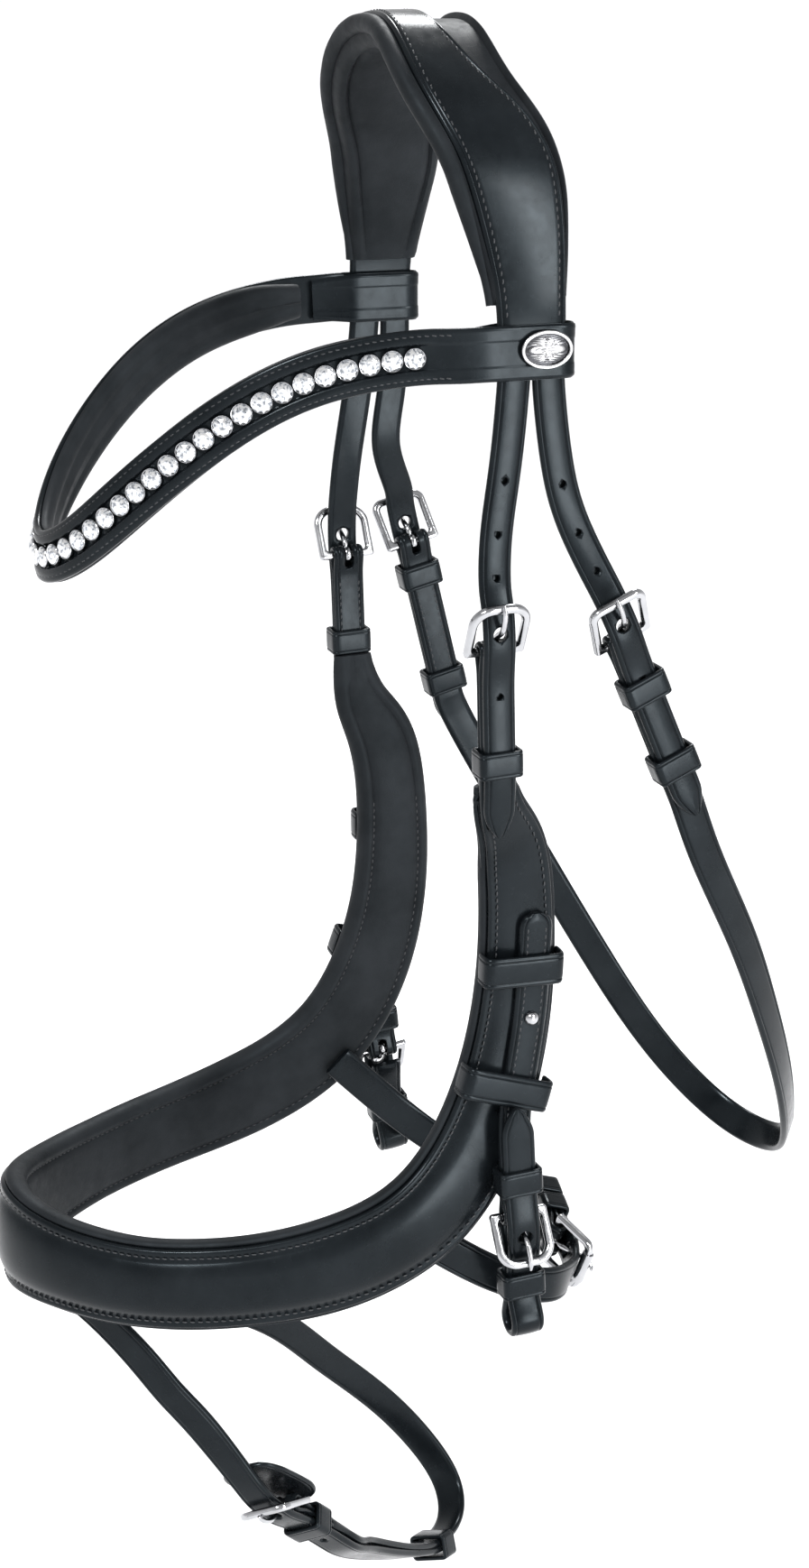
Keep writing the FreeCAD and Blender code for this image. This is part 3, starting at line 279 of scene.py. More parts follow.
# Half widths at even shares from an end to the middle.
NOSE_FRONT = [6, 12.5, 13.2, 14.3, 15.5, 16.5, 17, 16.5, 16.5, 18, 21]
NOSE_BACK = [6, 13, 14, 15.3, 17, 18.5, 18, 16.5, 16.5, 17.5, 20.5]
CROWN_BACK = [11.8, 12.1, 14.5, 16.5, 13.5, 6.5, 2, 0.5]
CROWN_FRONT = [11.8, 12.1, 14.5, 16.5, 17.5, 17, 15.5, 14.5]
CROWN_PAD_BACK = [11.6, 14.5, 17.6, 18.2, 17.2, 16.8, 16.8, 16.8]
CROWN_PAD_FRONT = [11.6, 14.5, 16.8, 17.8, 18.3, 17.8, 16.3, 15.4]
CROWN_PAD_DEPTH = [4.0, 7.0, 9.2, 9.9, 9.9, 9.9, 9.9, 9.9]

# -------- finishes


class Graph:
    """A material's nodes, made and joined in short calls."""

    def __init__(self, name):
        self.material = bpy.data.materials.new(name)
        self.material.use_nodes = True
        self.nodes = self.material.node_tree.nodes
        self.links = self.material.node_tree.links
        self.shader = self.nodes["Principled BSDF"]
        self.place = self.nodes.new("ShaderNodeTexCoord").outputs["Object"]

    def link(self, target, source):
        self.links.new(source, target)

    def set(self, **values):
        """Sets the shader's inputs, each to a value or to a socket that drives it."""
        for name, value in values.items():
            target = self.shader.inputs[name.replace("_", " ")]
            if isinstance(value, bpy.types.NodeSocket):
                self.link(target, value)
            else:
                target.default_value = value

    def add(self, kind, source, **values):
        """A node fed by source, with its other inputs set by name."""
        node = self.nodes.new(f"ShaderNode{kind}")
        self.link(node.inputs[0], source)
        for name, value in values.items():
            node.inputs[name.replace("_", " ")].default_value = value
        return node

    def noise(self, scale, detail=3.0, roughness=0.55, distortion=0.0, place=None):
        return self.add("TexNoise", place or self.place, Scale=scale, Detail=detail, Roughness=roughness,
                        Distortion=distortion).outputs["Fac"]

    def cells(self, scale):
        node = self.add("TexVoronoi", self.place, Scale=scale)
        node.feature = "DISTANCE_TO_EDGE"
        return node.outputs[0]

    def span(self, source, low, high, start=0.3, stop=0.7):
        return self.add("MapRange", source, From_Min=start, From_Max=stop, To_Min=low, To_Max=high).outputs[0]

    def ramp(self, source, *stops):
        node = self.add("ValToRGB", source)
        while len(node.color_ramp.elements) < len(stops):
            node.color_ramp.elements.new(0.5)
        for element, (position, colour) in zip(node.color_ramp.elements, stops):
            element.position = position
            element.color = (*colour, 1)
        return node.outputs[0]

    def bump(self, source, depth, under=None):
        node = self.nodes.new("ShaderNodeBump")
        self.link(node.inputs["Height"], source)
        node.inputs["Distance"].default_value = depth
        if under is not None:
            self.link(node.inputs["Normal"], under)
        return node.outputs[0]


def leather(name, dark, light, rough, grain, crease, coat, gloss):
    """Dyed leather: pores and fine creases in the surface, uneven colour and gloss."""
    g = Graph(name)
    pores = g.bump(g.cells(1500), grain * MM)
    g.set(Base_Color=g.ramp(g.noise(38, 4, 0.6), (0.35, dark), (0.68, light)),
          Roughness=g.span(g.noise(210, 5, 0.65), *rough),
          Normal=g.bump(g.noise(330, 6, 0.7, 1.2), crease * MM, pores),
          Coat_Weight=coat, Coat_Roughness=0.16, Specular_IOR_Level=gloss,
          Specular_Tint=(0.74, 0.9, 1.0, 1))
    return g.material


def metal(name, tint, rough, scratch):
    """Plated metal with faint scratches and uneven polish."""
    g = Graph(name)
    low = tuple(c * 0.86 for c in tint)
    drawn_out = g.add("Mapping", g.place, Scale=(1, 7, 1)).outputs[0]
    g.set(Base_Color=g.ramp(g.noise(160, 3), (0.3, low), (0.7, tint)),
          Roughness=g.span(g.noise(420, 4), *rough),
          Normal=g.bump(g.noise(500, 3, 0.6, 0.0, drawn_out), scratch * MM), Metallic=1.0)
    return g.material


def gem(name):
    """Foil-backed crystal with painted glints and painted facet shade: noise runs its colour from dark grey
    to white, so facets differ from one to the next.
    """
    g = Graph(name)
    tone = g.noise(900, 1, 0.5)
    # painted glints and painted shade: dark grey, light grey and white patches stand in for facets that catch
    # or miss the light
    glint_and_shade_tints = (0.34, (0.3, 0.32, 0.35)), (0.46, (0.8, 0.83, 0.87)), (0.56, (1.0, 1.0, 1.0))
    g.set(Base_Color=g.ramp(tone, *glint_and_shade_tints), Roughness=g.span(g.noise(700, 2), 0.02, 0.07), Metallic=0.9,
          Coat_Weight=0.3, Coat_Roughness=0.02)
    return g.material


def shaded_relief(name, tint, dark, low, high):
    """Metal with painted shade: its colour darkens in the recesses, at low mm and below, and has its full
    tint on the heights, at high mm.
    """
    g = Graph(name)
    # painted shade: colour by height, dark in the recesses and full metal tint on the heights
    depth = g.span(g.add("SeparateXYZ", g.place).outputs["X"], 0.0, 1.0, low * MM, high * MM)
    g.set(Base_Color=g.ramp(depth, (0.15, dark), (0.9, tint)), Roughness=g.span(g.noise(420, 4), 0.18, 0.34),
          Normal=g.bump(g.noise(900, 3), 0.01 * MM), Metallic=1.0)
    return g.material


def yarn(name):
    """Waxed thread, with its twist."""
    g = Graph(name)
    twist = g.noise(2600, 2)
    g.set(Base_Color=g.ramp(twist, (0.35, (0.005, 0.006, 0.007)), (0.7, (0.03, 0.033, 0.038))),
          Roughness=g.span(twist, 0.38, 0.62), Normal=g.bump(twist, 0.12 * MM))
    return g.material


BRIDLE = leather("bridle_leather", (0.0028, 0.0037, 0.0046), (0.0068, 0.0084, 0.0098),
                 (0.18, 0.3), 0.014, 0.012, 0.07, 0.13)
SOFT = leather("soft_lining_leather", (0.0075, 0.0084, 0.0094), (0.0155, 0.017, 0.019),
               (0.44, 0.6), 0.03, 0.1, 0.0, 0.11)
THREAD = yarn("waxed_thread")
STEEL = metal("polished_steel", (0.50, 0.505, 0.52), (0.1, 0.2), 0.006)
# badge metal with painted shade in its recesses
BADGE = shaded_relief("badge_metal", (0.74, 0.74, 0.75), (0.05, 0.051, 0.055), 79.35, 79.95)
CRYSTAL = gem("cut_crystal")

# -------- meshes


def mesh_of(name, verts, faces, material, smooth=True):
    data = bpy.data.meshes.new(name)
    data.from_pydata([tuple(v) for v in np.asarray(verts) * MM], [], faces)
    tool = bmesh.new()
    tool.from_mesh(data)
    bmesh.ops.recalc_face_normals(tool, faces=tool.faces)
    tool.to_mesh(data)
    tool.free()
    data.polygons.foreach_set("use_smooth", [smooth] * len(data.polygons))
    if smooth:
        data.set_sharp_from_angle(angle=SHARP_ANGLE)
    data.materials.append(material)
    made = bpy.data.objects.new(name, data)
    bpy.context.scene.collection.objects.link(made)
    return made


def tube_faces(rings, around, first=0, closed=False):
    """Quads between rings of points, and a cap at each open end."""
    faces = []
    for i in range(rings if closed else rings - 1):
        a, b = first + i * around, first + (i + 1) % rings * around
        for j in range(around):
            k = (j + 1) % around
            faces.append((a + j, a + k, b + k, b + j))
    if not closed:
        faces.append(tuple(range(first, first + around))[::-1])
        last = first + (rings - 1) * around
        faces.append(tuple(range(last, last + around)))
    return faces


def sweep(course, rings):
    """Points and faces of a section carried along a course; rings[i] holds (across, out) pairs."""
    rings = np.asarray(rings, float)
    verts = (course.p[:, None] + course.side[:, None] * rings[:, :, :1]
             + course.face[:, None] * rings[:, :, 1:])
    return verts.reshape(-1, 3), tube_faces(*rings.shape[:2])


def spread(values, course):
    """One number at each point of a course, going smoothly through values at even shares."""
    soften = 6
    if np.isscalar(values):
        return np.full(len(course.u), float(values))
    found = np.interp(course.u, np.linspace(0, 1, len(values)), values)
    padded = np.pad(found, soften, mode="edge")
    window = np.hanning(2 * soften + 3)[1:-1]
    return np.convolve(padded, window / window.sum(), mode="valid")


def both_ways(half):
    return half + half[-2::-1]


def inside(course, widths, sign, inset=SEAM):
    """A seam's place across a course: inset from the edge at widths, on the side that sign names."""
    return lambda d: sign * (np.interp(d, course.d, widths) - inset)


def section(top, bottom, edge, left, right):
    """A section's points, from its top round to its bottom and back; edge gives one side's."""
    return [(0.0, top), *edge(left), (0.0, bottom), *((-s, n) for s, n in edge(right)[::-1])]


def flat_ring(left, right, low, high, crown=0.12, groove=0.28):
    """A strap's section: eased edges, with a creased line along each."""
    thick = high - low
    k = min(1.0, (left + right) / 9)
    rows = [(4.2, 0.8 * crown, 1), (2.6, 0.3 * crown, 1), (2.15, 0, 1), (1.85, -groove, 1),
            (1.5, -0.02, 1), (1.0, -0.01, 1), (0.5, -0.13 * thick, 1), (0.12, -0.3 * thick, 1),
            (0, 0.42 * thick, 0), (0.22, 0.18 * thick, 0), (0.75, 0.03 * thick, 0), (2.2, 0, 0)]

    def edge(half):
        return [(half - min(d * k, half), (high if top else low) + n) for d, n, top in rows]

    return section(high + crown, low, edge, left, right)


def channel_ring(left, right, low, high, depth):
    """A browband's section: two padded borders with a channel between them."""

    def edge(half):
        return [(3.5, high - depth), (3.95, high - 0.7 * depth), (4.25, high + 0.15 * depth),
                (4.9, high + 0.5 * depth), (half - 2.4, high + 0.5 * depth), (half - 1.9, high + 0.1),
                (half - 1.5, high + 0.15), (half - 0.7, high), (half - 0.1, high - 0.7),
                (half, low + 0.9), (half - 0.3, low + 0.3), (half - 1.0, low)]

    return section(high - depth, low, edge, left, right)


def nose_ring(left, right, low, high, swell):
    """A padded noseband's section: flat borders for the stitches, and a full middle."""
    k = min(1.0, (left + right) / 26)
    dome = ((0.22, 0.98), (0.45, 0.9), (0.66, 0.74), (0.83, 0.48), (0.93, 0.22), (1.0, 0.02))
    border = ((3.4, -0.12), (2.9, -0.2), (2.4, -0.12), (1.6, 0.02), (0.8, -0.02), (0.25, -0.35))

    def edge(half):
        wide = max(half - 4.2 * k, 0.5)
        base = [(wide * a, high + swell * rise) for a, rise in dome]
        base += [(half - d * k, high + n) for d, n in border]
        base += [(half, 0.25 * (high + low)), (half - 0.2, low + 0.4), (half - 0.8 * k, low)]
        return [(max(s, 0.05), n) for s, n in base]

    return section(high + swell, low, edge, left, right)


def pad_ring(left, right, low, high, roll):
    """A lining's section: flat against the leather, a soft roll at each edge, full inside."""
    deep = high - low
    base = [(-3.0, high), (-1.7, high), (-1.1, high + 0.45 * roll), (-0.3, high + 0.8 * roll),
            (0.5, high + 0.55 * roll), (1.0, high - 0.35 * roll), (1.1, high - 0.28 * deep),
            (0.7, high - 0.52 * deep), (-0.2, high - 0.76 * deep), (-1.6, high - 0.93 * deep),
            (-3.2, high - 0.96 * deep), (-4.3, high - 0.84 * deep), (-5.3, high - 0.93 * deep),
            (-7.4, high - deep)]

    def edge(half):
        return [(max(half + s, 0.1 * (8 + s)), n) for s, n in base]

    return section(high, high - 1.04 * deep, edge, left, right)


def tipped(course, half, end=False):
    """Half widths along a strap that comes to a point at its start, or at its end."""
    long, blunt = 11.0, 0.16
    share = np.clip((course.length - course.d if end else course.d) / long, 0, 1)
    return half * (blunt + (1 - blunt) * np.sin(share * math.pi / 2) ** 0.8)


def rounded_end(distance, half):
    """Half widths of a strap at a distance from its rounded end."""
    share = np.clip(distance / (0.9 * half), 0, 1)
    return half * (0.35 + 0.65 * np.sqrt(1 - (1 - share) ** 2))


def band(name, course, left, right, low, high, material=None, ring=flat_ring, **extra):
    left, right, low, high = (spread(v, course) if np.isscalar(v) or isinstance(v, list) else v
                              for v in (left, right, low, high))
    rings = [ring(*row, **extra) for row in zip(left, right, low, high)]
    for i in (0, -1):
        rings[i] = [(s * 0.97, n * 0.8 + 0.1 * (low[i] + high[i])) for s, n in rings[i]]
    return mesh_of(name, *sweep(course, rings), material or BRIDLE)


def evaluated(made):
    graph = bpy.context.evaluated_depsgraph_get()
    data = bpy.data.meshes.new_from_object(made.evaluated_get(graph))
    made.modifiers.clear()
    made.data = data
    return made


def cut(made, tools):
    for tool in tools:
        step = made.modifiers.new("cut", "BOOLEAN")
        step.operation, step.solver, step.object = "DIFFERENCE", "EXACT", tool
    bpy.context.view_layer.update()
    evaluated(made)
    for tool in tools:
        bpy.data.objects.remove(tool)
    return made


def drill(place, way, radius, deep):
    """A cutter for a round hole about place."""
    way = unit(np.asarray(way, float))
    side = unit(np.cross(way, (0.31, 0.57, 0.76)))
    other = np.cross(way, side)
    turn = circle(20)
    ring = np.outer(np.cos(turn), side) + np.outer(np.sin(turn), other)
    verts = np.concatenate([place + way * h + ring * radius for h in (-deep / 2, deep / 2)])
    return mesh_of("tool", verts, tube_faces(2, 20), BRIDLE)


def slot_tool(site):
    """A cutter for the slot that a tongue passes through."""
    half, back, front = 1.9, -5.2, 5.5
    turn = np.linspace(-math.pi / 2, math.pi / 2, 7)
    outline = [(half * math.sin(-a), front - half + half * math.cos(a)) for a in turn]
    outline += [(half * math.sin(a), back + half - half * math.cos(a)) for a in turn]
    verts = [site.spot(t, n, s) for n in (-6, 6) for s, t in outline]
    return mesh_of("tool", verts, tube_faces(2, len(outline)), BRIDLE)


STITCH = [(-1.0, 0.35, -0.55), (-0.72, 0.85, -0.1), (0, 1.0, 0.12), (0.72, 0.85, -0.1), (1.0, 0.35, -0.55)]


def stitching(name, rows, pitch=2.7, long=1.75, thick=0.3):
    """Real stitches in rows; a row is (course, across, out, first distance, last distance)."""
    verts, faces = [], []
    turn = circle(6)
    for course, across, out, first, last in rows:
        count = max(1, round((last - first) / pitch))
        for i in range(count):
            d = first + (i + 0.5) * (last - first) / count
            s = across(d) if callable(across) else across
            n = out(d) if callable(out) else out
            p, along, side, face = course.at(d, s, n)
            lean = along + side * 0.12
            start = len(verts)
            for step, fat, lift in STITCH:
                centre = p + lean * step * long / 2 + face * lift * thick
                verts += [centre + (side * math.cos(a) + face * math.sin(a) * 0.8) * fat * thick
                          for a in turn]
            faces += tube_faces(len(STITCH), 6, start)
    return mesh_of(name, verts, faces, THREAD)


def ring_loop(name, origin, x, y, z, width, low, high, height=KEEPER_HEIGHT):
    """A leather loop: width across x, from low to high along z inside it, height tall along y."""
    a = width / 2 + ROOM + WALL / 2
    bottom, top = low - ROOM - WALL / 2, high + ROOM + WALL / 2
    corner = 1.3
    path = []
    for cx, cz, first in ((a - corner, top - corner, 0), (-a + corner, top - corner, 90),
                          (-a + corner, bottom + corner, 180), (a - corner, bottom + corner, 270)):
        for step in range(0, 91, 18):
            angle = math.radians(first + step)
            way = np.array([math.cos(angle), math.sin(angle)])
            path.append((np.array([cx, cz]) + way * corner, way))
    fine = []
    for i, (spot, way) in enumerate(path):
        ahead, ahead_way = path[(i + 1) % len(path)]
        count = max(1, round(np.linalg.norm(ahead - spot) / 1.6))
        fine += [(spot + (ahead - spot) * j / count, unit(way + (ahead_way - way) * j / count))
                 for j in range(count)]
    h, w = height / 2, WALL / 2
    half = [(0, w), (h - 1.9, w - 0.02), (h - 1.5, w - 0.04), (h - 1.25, w - 0.24), (h - 1.0, w - 0.04),
            (h - 0.3, w - 0.12), (h - 0.02, w - 0.4), (h, -w + 0.35), (h - 0.2, -w + 0.08), (h - 0.8, -w)]
    section = half + [(0, -w)] + [(-s, n) for s, n in half[:0:-1]]
    verts = []
    for spot, way in fine:
        centre = origin + x * spot[0] + z * spot[1]
        out = x * way[0] + z * way[1]
        verts += [centre + y * s + out * n for s, n in section]
    return mesh_of(name, verts, tube_faces(len(fine), len(section), closed=True), BRIDLE)


def rod(points, radii, around=12, up=(0, 0, 1)):
    """Points and faces of a round bar through points, with a radius at each."""
    course = Course(points, np.tile(np.asarray(up, float), (len(points), 1)))
    turn = circle(around)
    rings = [[(r * math.cos(a), r * math.sin(a)) for a in turn] for r in radii]
    return sweep(course, rings)


def joined(parts):
    """Several (points, faces) as one."""
    verts, faces, count = [], [], 0
    for v, f in parts:
        faces += [tuple(i + count for i in face) for face in f]
        verts.append(np.asarray(v, float))
        count += len(v)
    return np.concatenate(verts), faces


def give(made, body, slot, *nodes, fill=None):
    """Puts a made piece on its body, in place of the frame's plain nodes."""
    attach(made, body)
    if nodes:
        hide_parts(*nodes)
    return made


# -------- straps and tongues


def strap(node, course, half, thick=HALF_THICK, crown=0.2, holes=()):
    """A node's flat strap with holes cut in it; half and thick are half its width and thickness."""
    made = band(f"{node}_look", course, half, half, -thick, thick, crown=crown)
    if holes:
        cut(made, holes)
    give(made, BODY_OF[node], "leather", node)


def chape(name, node, site, reach, half):
    """The end of a node's strap, turned round the bar: two leaves and the bend between them."""
    r = BAR_ROOM + LEAF_THICK / 2
    leaf = [(-reach, LEAF, 0, 1), (-reach * 0.55, LEAF, 0, 1), (-9, LEAF, 0, 1),
            (-5.5, LEAF + 0.35, -0.25, 1), (-2.6, r - 0.55, -0.35, 1)]
    rows = list(leaf)
    for angle in (75, 50, 25, 0, -25, -50, -75):
        a = math.radians(angle)
        rows.append((r * math.cos(a), r * math.sin(a), math.cos(a), math.sin(a)))
    rows += [(t, -n, f, -g) for t, n, f, g in leaf[::-1]]
    course = Line([site.station(t, n, f, g) for t, n, f, g in rows]).course(0.9)
    made = band(name, course, half, half, -LEAF_THICK / 2, LEAF_THICK / 2, crown=0.05)
    give(cut(made, [slot_tool(site)]), BODY_OF[node], "leather", node)
    return course


def tongue_look(name, site, lift=0.0):
    """An eye round the bar, and a smooth prong whose tip rests on the frame's front."""
    rest = WIRE / 2 + TONGUE_WIDTH / 2 + 0.1 + lift
    front_y, front_z = FRAME_LENGTH * math.cos(TILT), FRAME_LENGTH * math.sin(TILT)
    spots = [(1.9, 1.1), (4.2, 1.9), (6.2, 4.4), (8.2, 7.9), (front_y - 4, front_z + rest - 0.7),
             (front_y - 0.8, front_z + rest), (front_y + 1.9, front_z + rest - 0.6)]
    line = Line([(*site.spot(t, n), *site.z) for t, n in spots]).course(0.6)
    radii = np.interp(line.u, [0, 0.3, 0.9, 1.0], [1.0, 1.05, 0.86, 0.5])
    prong = rod(line.p, radii, up=site.z)
    turn = circle(28)
    verts = []
    section = circle(12)
    for a in turn:
        way = site.y * math.cos(a) + site.z * math.sin(a)
        centre = site.origin + way * 2.35
        verts += [centre + way * 0.55 * math.cos(b) + site.x * 1.3 * math.sin(b) for b in section]
    eye = (verts, tube_faces(28, 12, closed=True))
    return mesh_of(name, *joined([eye, prong]), STEEL)


def edge_rows(course, half, out, first, last, inset=SEAM):
    return [(course, half - inset, out, first, last), (course, inset - half, out, first, last)]


def leaf_rows(leaf, half, last, both=False, inset=SEAM):
    """Seams on a turned end's front leaf, and on its back leaf too if both."""
    rows = edge_rows(leaf, half, LEAF_THICK / 2, 2, last, inset)
    if both:
        rows += edge_rows(leaf, half, LEAF_THICK / 2, leaf.length - last, leaf.length - 2, inset)
    return rows


# -------- headpiece and its billets

CROWN = Line(round_trip(CROWN_HALF))
crown = CROWN.course(2.0)
crown_back, crown_front = spread(both_ways(CROWN_BACK), crown), spread(both_ways(CROWN_FRONT), crown)
give(band("headpiece_leather_look", crown, crown_back, crown_front, -CROWN_THICK / 2, CROWN_THICK / 2,
          crown=0.35), "headpiece", "leather", "headpiece_leather")
pad_course = CROWN.course(2.0, 0.065, 0.935)
pad_high = -CROWN_THICK / 2 - 0.05
give(band("headpiece_pad_look", pad_course, both_ways(CROWN_PAD_BACK), both_ways(CROWN_PAD_FRONT),
          [pad_high - d for d in both_ways(CROWN_PAD_DEPTH)], pad_high, SOFT, pad_ring, roll=2.6),
     "headpiece", "soft_leather", "headpiece_pad", fill=0.75)
pad_edge = spread(both_ways(CROWN_PAD_FRONT), pad_course) + 1.0
spots = pad_course.p - pad_course.side * pad_edge[:, None] + pad_course.face * (pad_high - 1.2)
roll_radius = 3.3 * np.sqrt(np.clip(pad_course.from_ends / 40, 0.25, 1))
give(mesh_of("headpiece_roll", *rod(spots, roll_radius, 16), SOFT), "headpiece", "soft_leather", fill=0.9)
rows = [(crown, inside(crown, widths, sign), CROWN_THICK / 2 + 0.22, 14, crown.length - 14)
        for sign, widths in ((1, crown_back), (-1, crown_front))]
give(stitching("headpiece_stitching", rows), "headpiece", "leather")

for side, sign in SIDES:
    for kind, tip_height in (("cheek", 1.4), ("throat", 3.9)):
        site, reach = SITES[f"{kind}_{side}"], REACH[kind, side]
        if kind == "cheek":
            top = CHEEK_BILLET_TOP if side == "left" else mirrored(CHEEK_BILLET_TOP)
        else:
            top = THROAT_BILLET_TOPS[side]
        run = site.stations((22, 2.2), (15.5, 4.1), (TONGUE_HOLE, 5.3), (0, OVER_BAR), (-9, OVER_LEAF + 0.3),
                            *((-9 - (reach - 21) * i / 3, OVER_LEAF) for i in (1, 2, 3)),
                            (-reach, (OVER_LEAF + tip_height) / 2), (-reach - 10, tip_height))
        course = Line(top + run).course(1.6)
        half = tipped(course, STRAP / 2, end=True)
        made = band(f"{kind}_billet_{side}_look", course, half, half, -HALF_THICK, HALF_THICK, crown=0.2)
        tools = [drill(site.spot(TONGUE_HOLE, 5), site.z, PINNED_RADIUS, 6),
                 drill(site.spot(-15, 6), site.z, SPARE_RADIUS, 6)]
        upper = Line(top[1:] + [site.station(22, 2.2)]).course(2.0)
        for distance in HOLES[kind, side]:
            p, _, _, face = upper.at(distance, out=BLIND)
            tools.append(drill(p, face, SPARE_RADIUS, 6))
        cut(made, tools)
        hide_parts(f"{kind}_billet_{side}")
        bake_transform(made)

# -------- browband

brow = Line(round_trip(BROW_LOOP + BROW_HALF)).course(1.5)
loop_end = brow.d[np.linalg.norm(brow.p - LOOP_END, axis=1).argmin()]
brow_half = BROW_HEIGHT / 2
bulk = 0.8 + 0.4 * np.clip((brow.from_ends - loop_end) / 26, 0, 1)
channel = 0.12 + 0.75 * np.clip((brow.from_ends - loop_end - 26) / 6, 0, 1)
tall = brow_half * (0.84 + 0.16 * np.clip(brow.from_ends / 16, 0, 1))
rings = [channel_ring(half, half, -high, high, depth) for half, high, depth in zip(tall, bulk, channel)]
give(mesh_of("browband_leather_look", *sweep(brow, rings), BRIDLE), "browband", "leather",
     "browband_leather", "browband_loop_left", "browband_loop_right")
BROW = Line(round_trip([BROW_START] + BROW_HALF))
lining = BROW.course(2.0, 0.05, 0.95)
brow_pad_high = -BROW_THICK / 2 - 0.05
tall = both_ways([5.0, 7.6] + [8.0] * 9)
give(band("browband_pad_look", lining, tall, tall, brow_pad_high - 4, brow_pad_high, SOFT, pad_ring,
          roll=0.3), "browband", "soft_leather", "browband_pad", fill=0.6)
rows = edge_rows(brow, brow_half, 1.32, loop_end + 22, brow.length - loop_end - 22, 2.1)
give(stitching("browband_stitching", rows, 2.3, 1.7), "browband", "leather")


def crystals():
    """A cup and a cut stone at every pitch along the front."""
    course = BROW.course(0.8)
    pitch, count, big, facets = 7.35, 45, 1.2, 10
    turn = circle(20)
    cup_profile = [(2.7, -0.6), (2.9, -0.4), (3.0, 0.35), (3.0, 0.85), (2.9, 1.0), (2.74, 0.92), (2.7, 0.6)]
    cups, stones = [], []
    for i in range(count):
        d = course.length / 2 + (i - (count - 1) / 2) * pitch
        p, along, side, face = course.at(d)
        base = p + face * (BROW_THICK / 2 - 0.1)
        verts = [base + (along * math.cos(a) + side * math.sin(a)) * r * big + face * h
                 for r, h in cup_profile for a in turn]
        cups.append((verts, tube_faces(len(cup_profile), 20)))
        spin = 0.4 * i
        verts = []
        for r, h, offset in ((2.74, 0.6, 0), (2.68, 1.15, 0.5), (2.05, 1.85, 0), (1.25, 2.25, 0.5)):
            angles = [spin + 2 * math.pi * (j + offset) / facets for j in range(facets)]
            verts += [base + (along * math.cos(a) + side * math.sin(a)) * r * big + face * h for a in angles]
        faces = []
        for ring in range(3):
            for j in range(facets):
                a, b = ring * facets + j, ring * facets + (j + 1) % facets
                c, e = a + facets, b + facets
                faces += [(a, b, c), (b, e, c)] if ring % 2 == 0 else [(a, b, e), (a, e, c)]
        faces += [tuple(range(3 * facets, 4 * facets)), tuple(range(facets))[::-1]]
        stones.append((verts, faces))
    give(mesh_of("crystal_cups_look", *joined(cups), STEEL), "browband", "steel", "crystal_strip")
    give(mesh_of("crystals_look", *joined(stones), CRYSTAL, smooth=False), "browband", "crystal",
         "crystal_strip")


crystals()


def badge():
    """A generic oval badge: a raised rim round a dished field with a low rosette."""
    centre, rim_size, field_size, radial, around = BADGE_PLACE, (8.4, 5.7), (8.1, 5.4), 22, 96
    x, y, out = np.array([0, 1.0, 0]), np.array([0, 0, 1.0]), np.array([1.0, 0, 0])
    turn = circle(64)

    def oval(size, a):
        return x * size[0] * math.cos(a) + y * size[1] * math.sin(a)

    rim = []
    for a in turn:
        way = oval(rim_size, a)
        push = unit(oval((1 / rim_size[0], 1 / rim_size[1]), a))
        rim += [centre + way + out * (1.55 + 0.75 * math.sin(b)) + push * 0.62 * math.cos(b)
                for b in circle(10)]
    verts, faces = [centre + out * 2.1], []
    steps = [2 * math.pi * j / around for j in range(around)]
    for i in range(1, radial + 1):
        r = i / radial
        for a in steps:
            petal = max(0.0, math.cos(3 * a)) ** 2 * math.exp(-((r - 0.42) / 0.2) ** 2)
            wave = 0.5 + 0.5 * math.cos(40 * r * math.sin(a) ** 2 + 9 * r)
            height = 1.15 + 0.4 * (1 - r * r) + 0.35 * petal + 0.32 * wave * (1 - r ** 4)
            verts.append(centre + oval(field_size, a) * r + out * height)
    for j in range(around):
        k = (j + 1) % around
        faces.append((0, 1 + j, 1 + k))
        for i in range(radial - 1):
            a, b = 1 + i * around, 1 + (i + 1) * around
            faces.append((a + j, b + j, b + k, a + k))
    floor = len(verts)
    verts += [centre + oval(field_size, a) for a in steps]
    last = 1 + (radial - 1) * around
    faces += [(last + j, floor + j, floor + (j + 1) % around, last + (j + 1) % around)
              for j in range(around)]
    faces.append(tuple(range(floor, floor + around))[::-1])
    parts = [(rim, tube_faces(64, 10, closed=True)), (verts, faces)]
    give(mesh_of("badge_look", *joined(parts), BADGE), "browband", "badge_metal", "badge")


badge()

# -------- noseband

NOSE = Line(round_trip(NOSE_HALF))
nose = NOSE.course(2.0)
nose_front, nose_back = (spread(both_ways([row[0]] + [w - NOSE_EDGE for w in row[1:]]), nose)
                         for row in (NOSE_FRONT, NOSE_BACK))
nose_edges = ((1, nose_front), (-1, nose_back))
leaves = LEAF + LEAF_THICK / 2
nose_high = leaves + (NOSE_THICK / 2 - leaves) * np.clip(nose.from_ends / 40, 0, 1)
swell = np.clip((nose.from_ends - 70) / 150, 0, 1)
rings = [nose_ring(left, right, -high, high, 0.5 + 2.3 * full)
         for left, right, high, full in zip(nose_front, nose_back, nose_high, swell)]
give(mesh_of("noseband_leather_look", *sweep(nose, rings), BRIDLE), "noseband", "leather",
     "noseband_leather")
far_top = (-76.5, -0.9, -230.5, -1, 0, 0.02)
nose_pad = Line(round_trip(NOSE_HALF) + [far_top]).course(2.0, 0.005)
under = [-leaves - 0.1] + [-NOSE_THICK / 2 - 0.05] * 10
pad_front, pad_back = (both_ways([6.2] + [w - 0.2 for w in row[1:]]) for row in (NOSE_FRONT, NOSE_BACK))
pad_low = both_ways([u - d for u, d in zip(under, [3.2] + [7.2] * 10)])
give(band("noseband_pad_look", nose_pad, pad_front, pad_back, pad_low, both_ways(under), SOFT, pad_ring,
          roll=1.2), "noseband", "soft_leather", "noseband_pad", fill=0.7)
welts = []
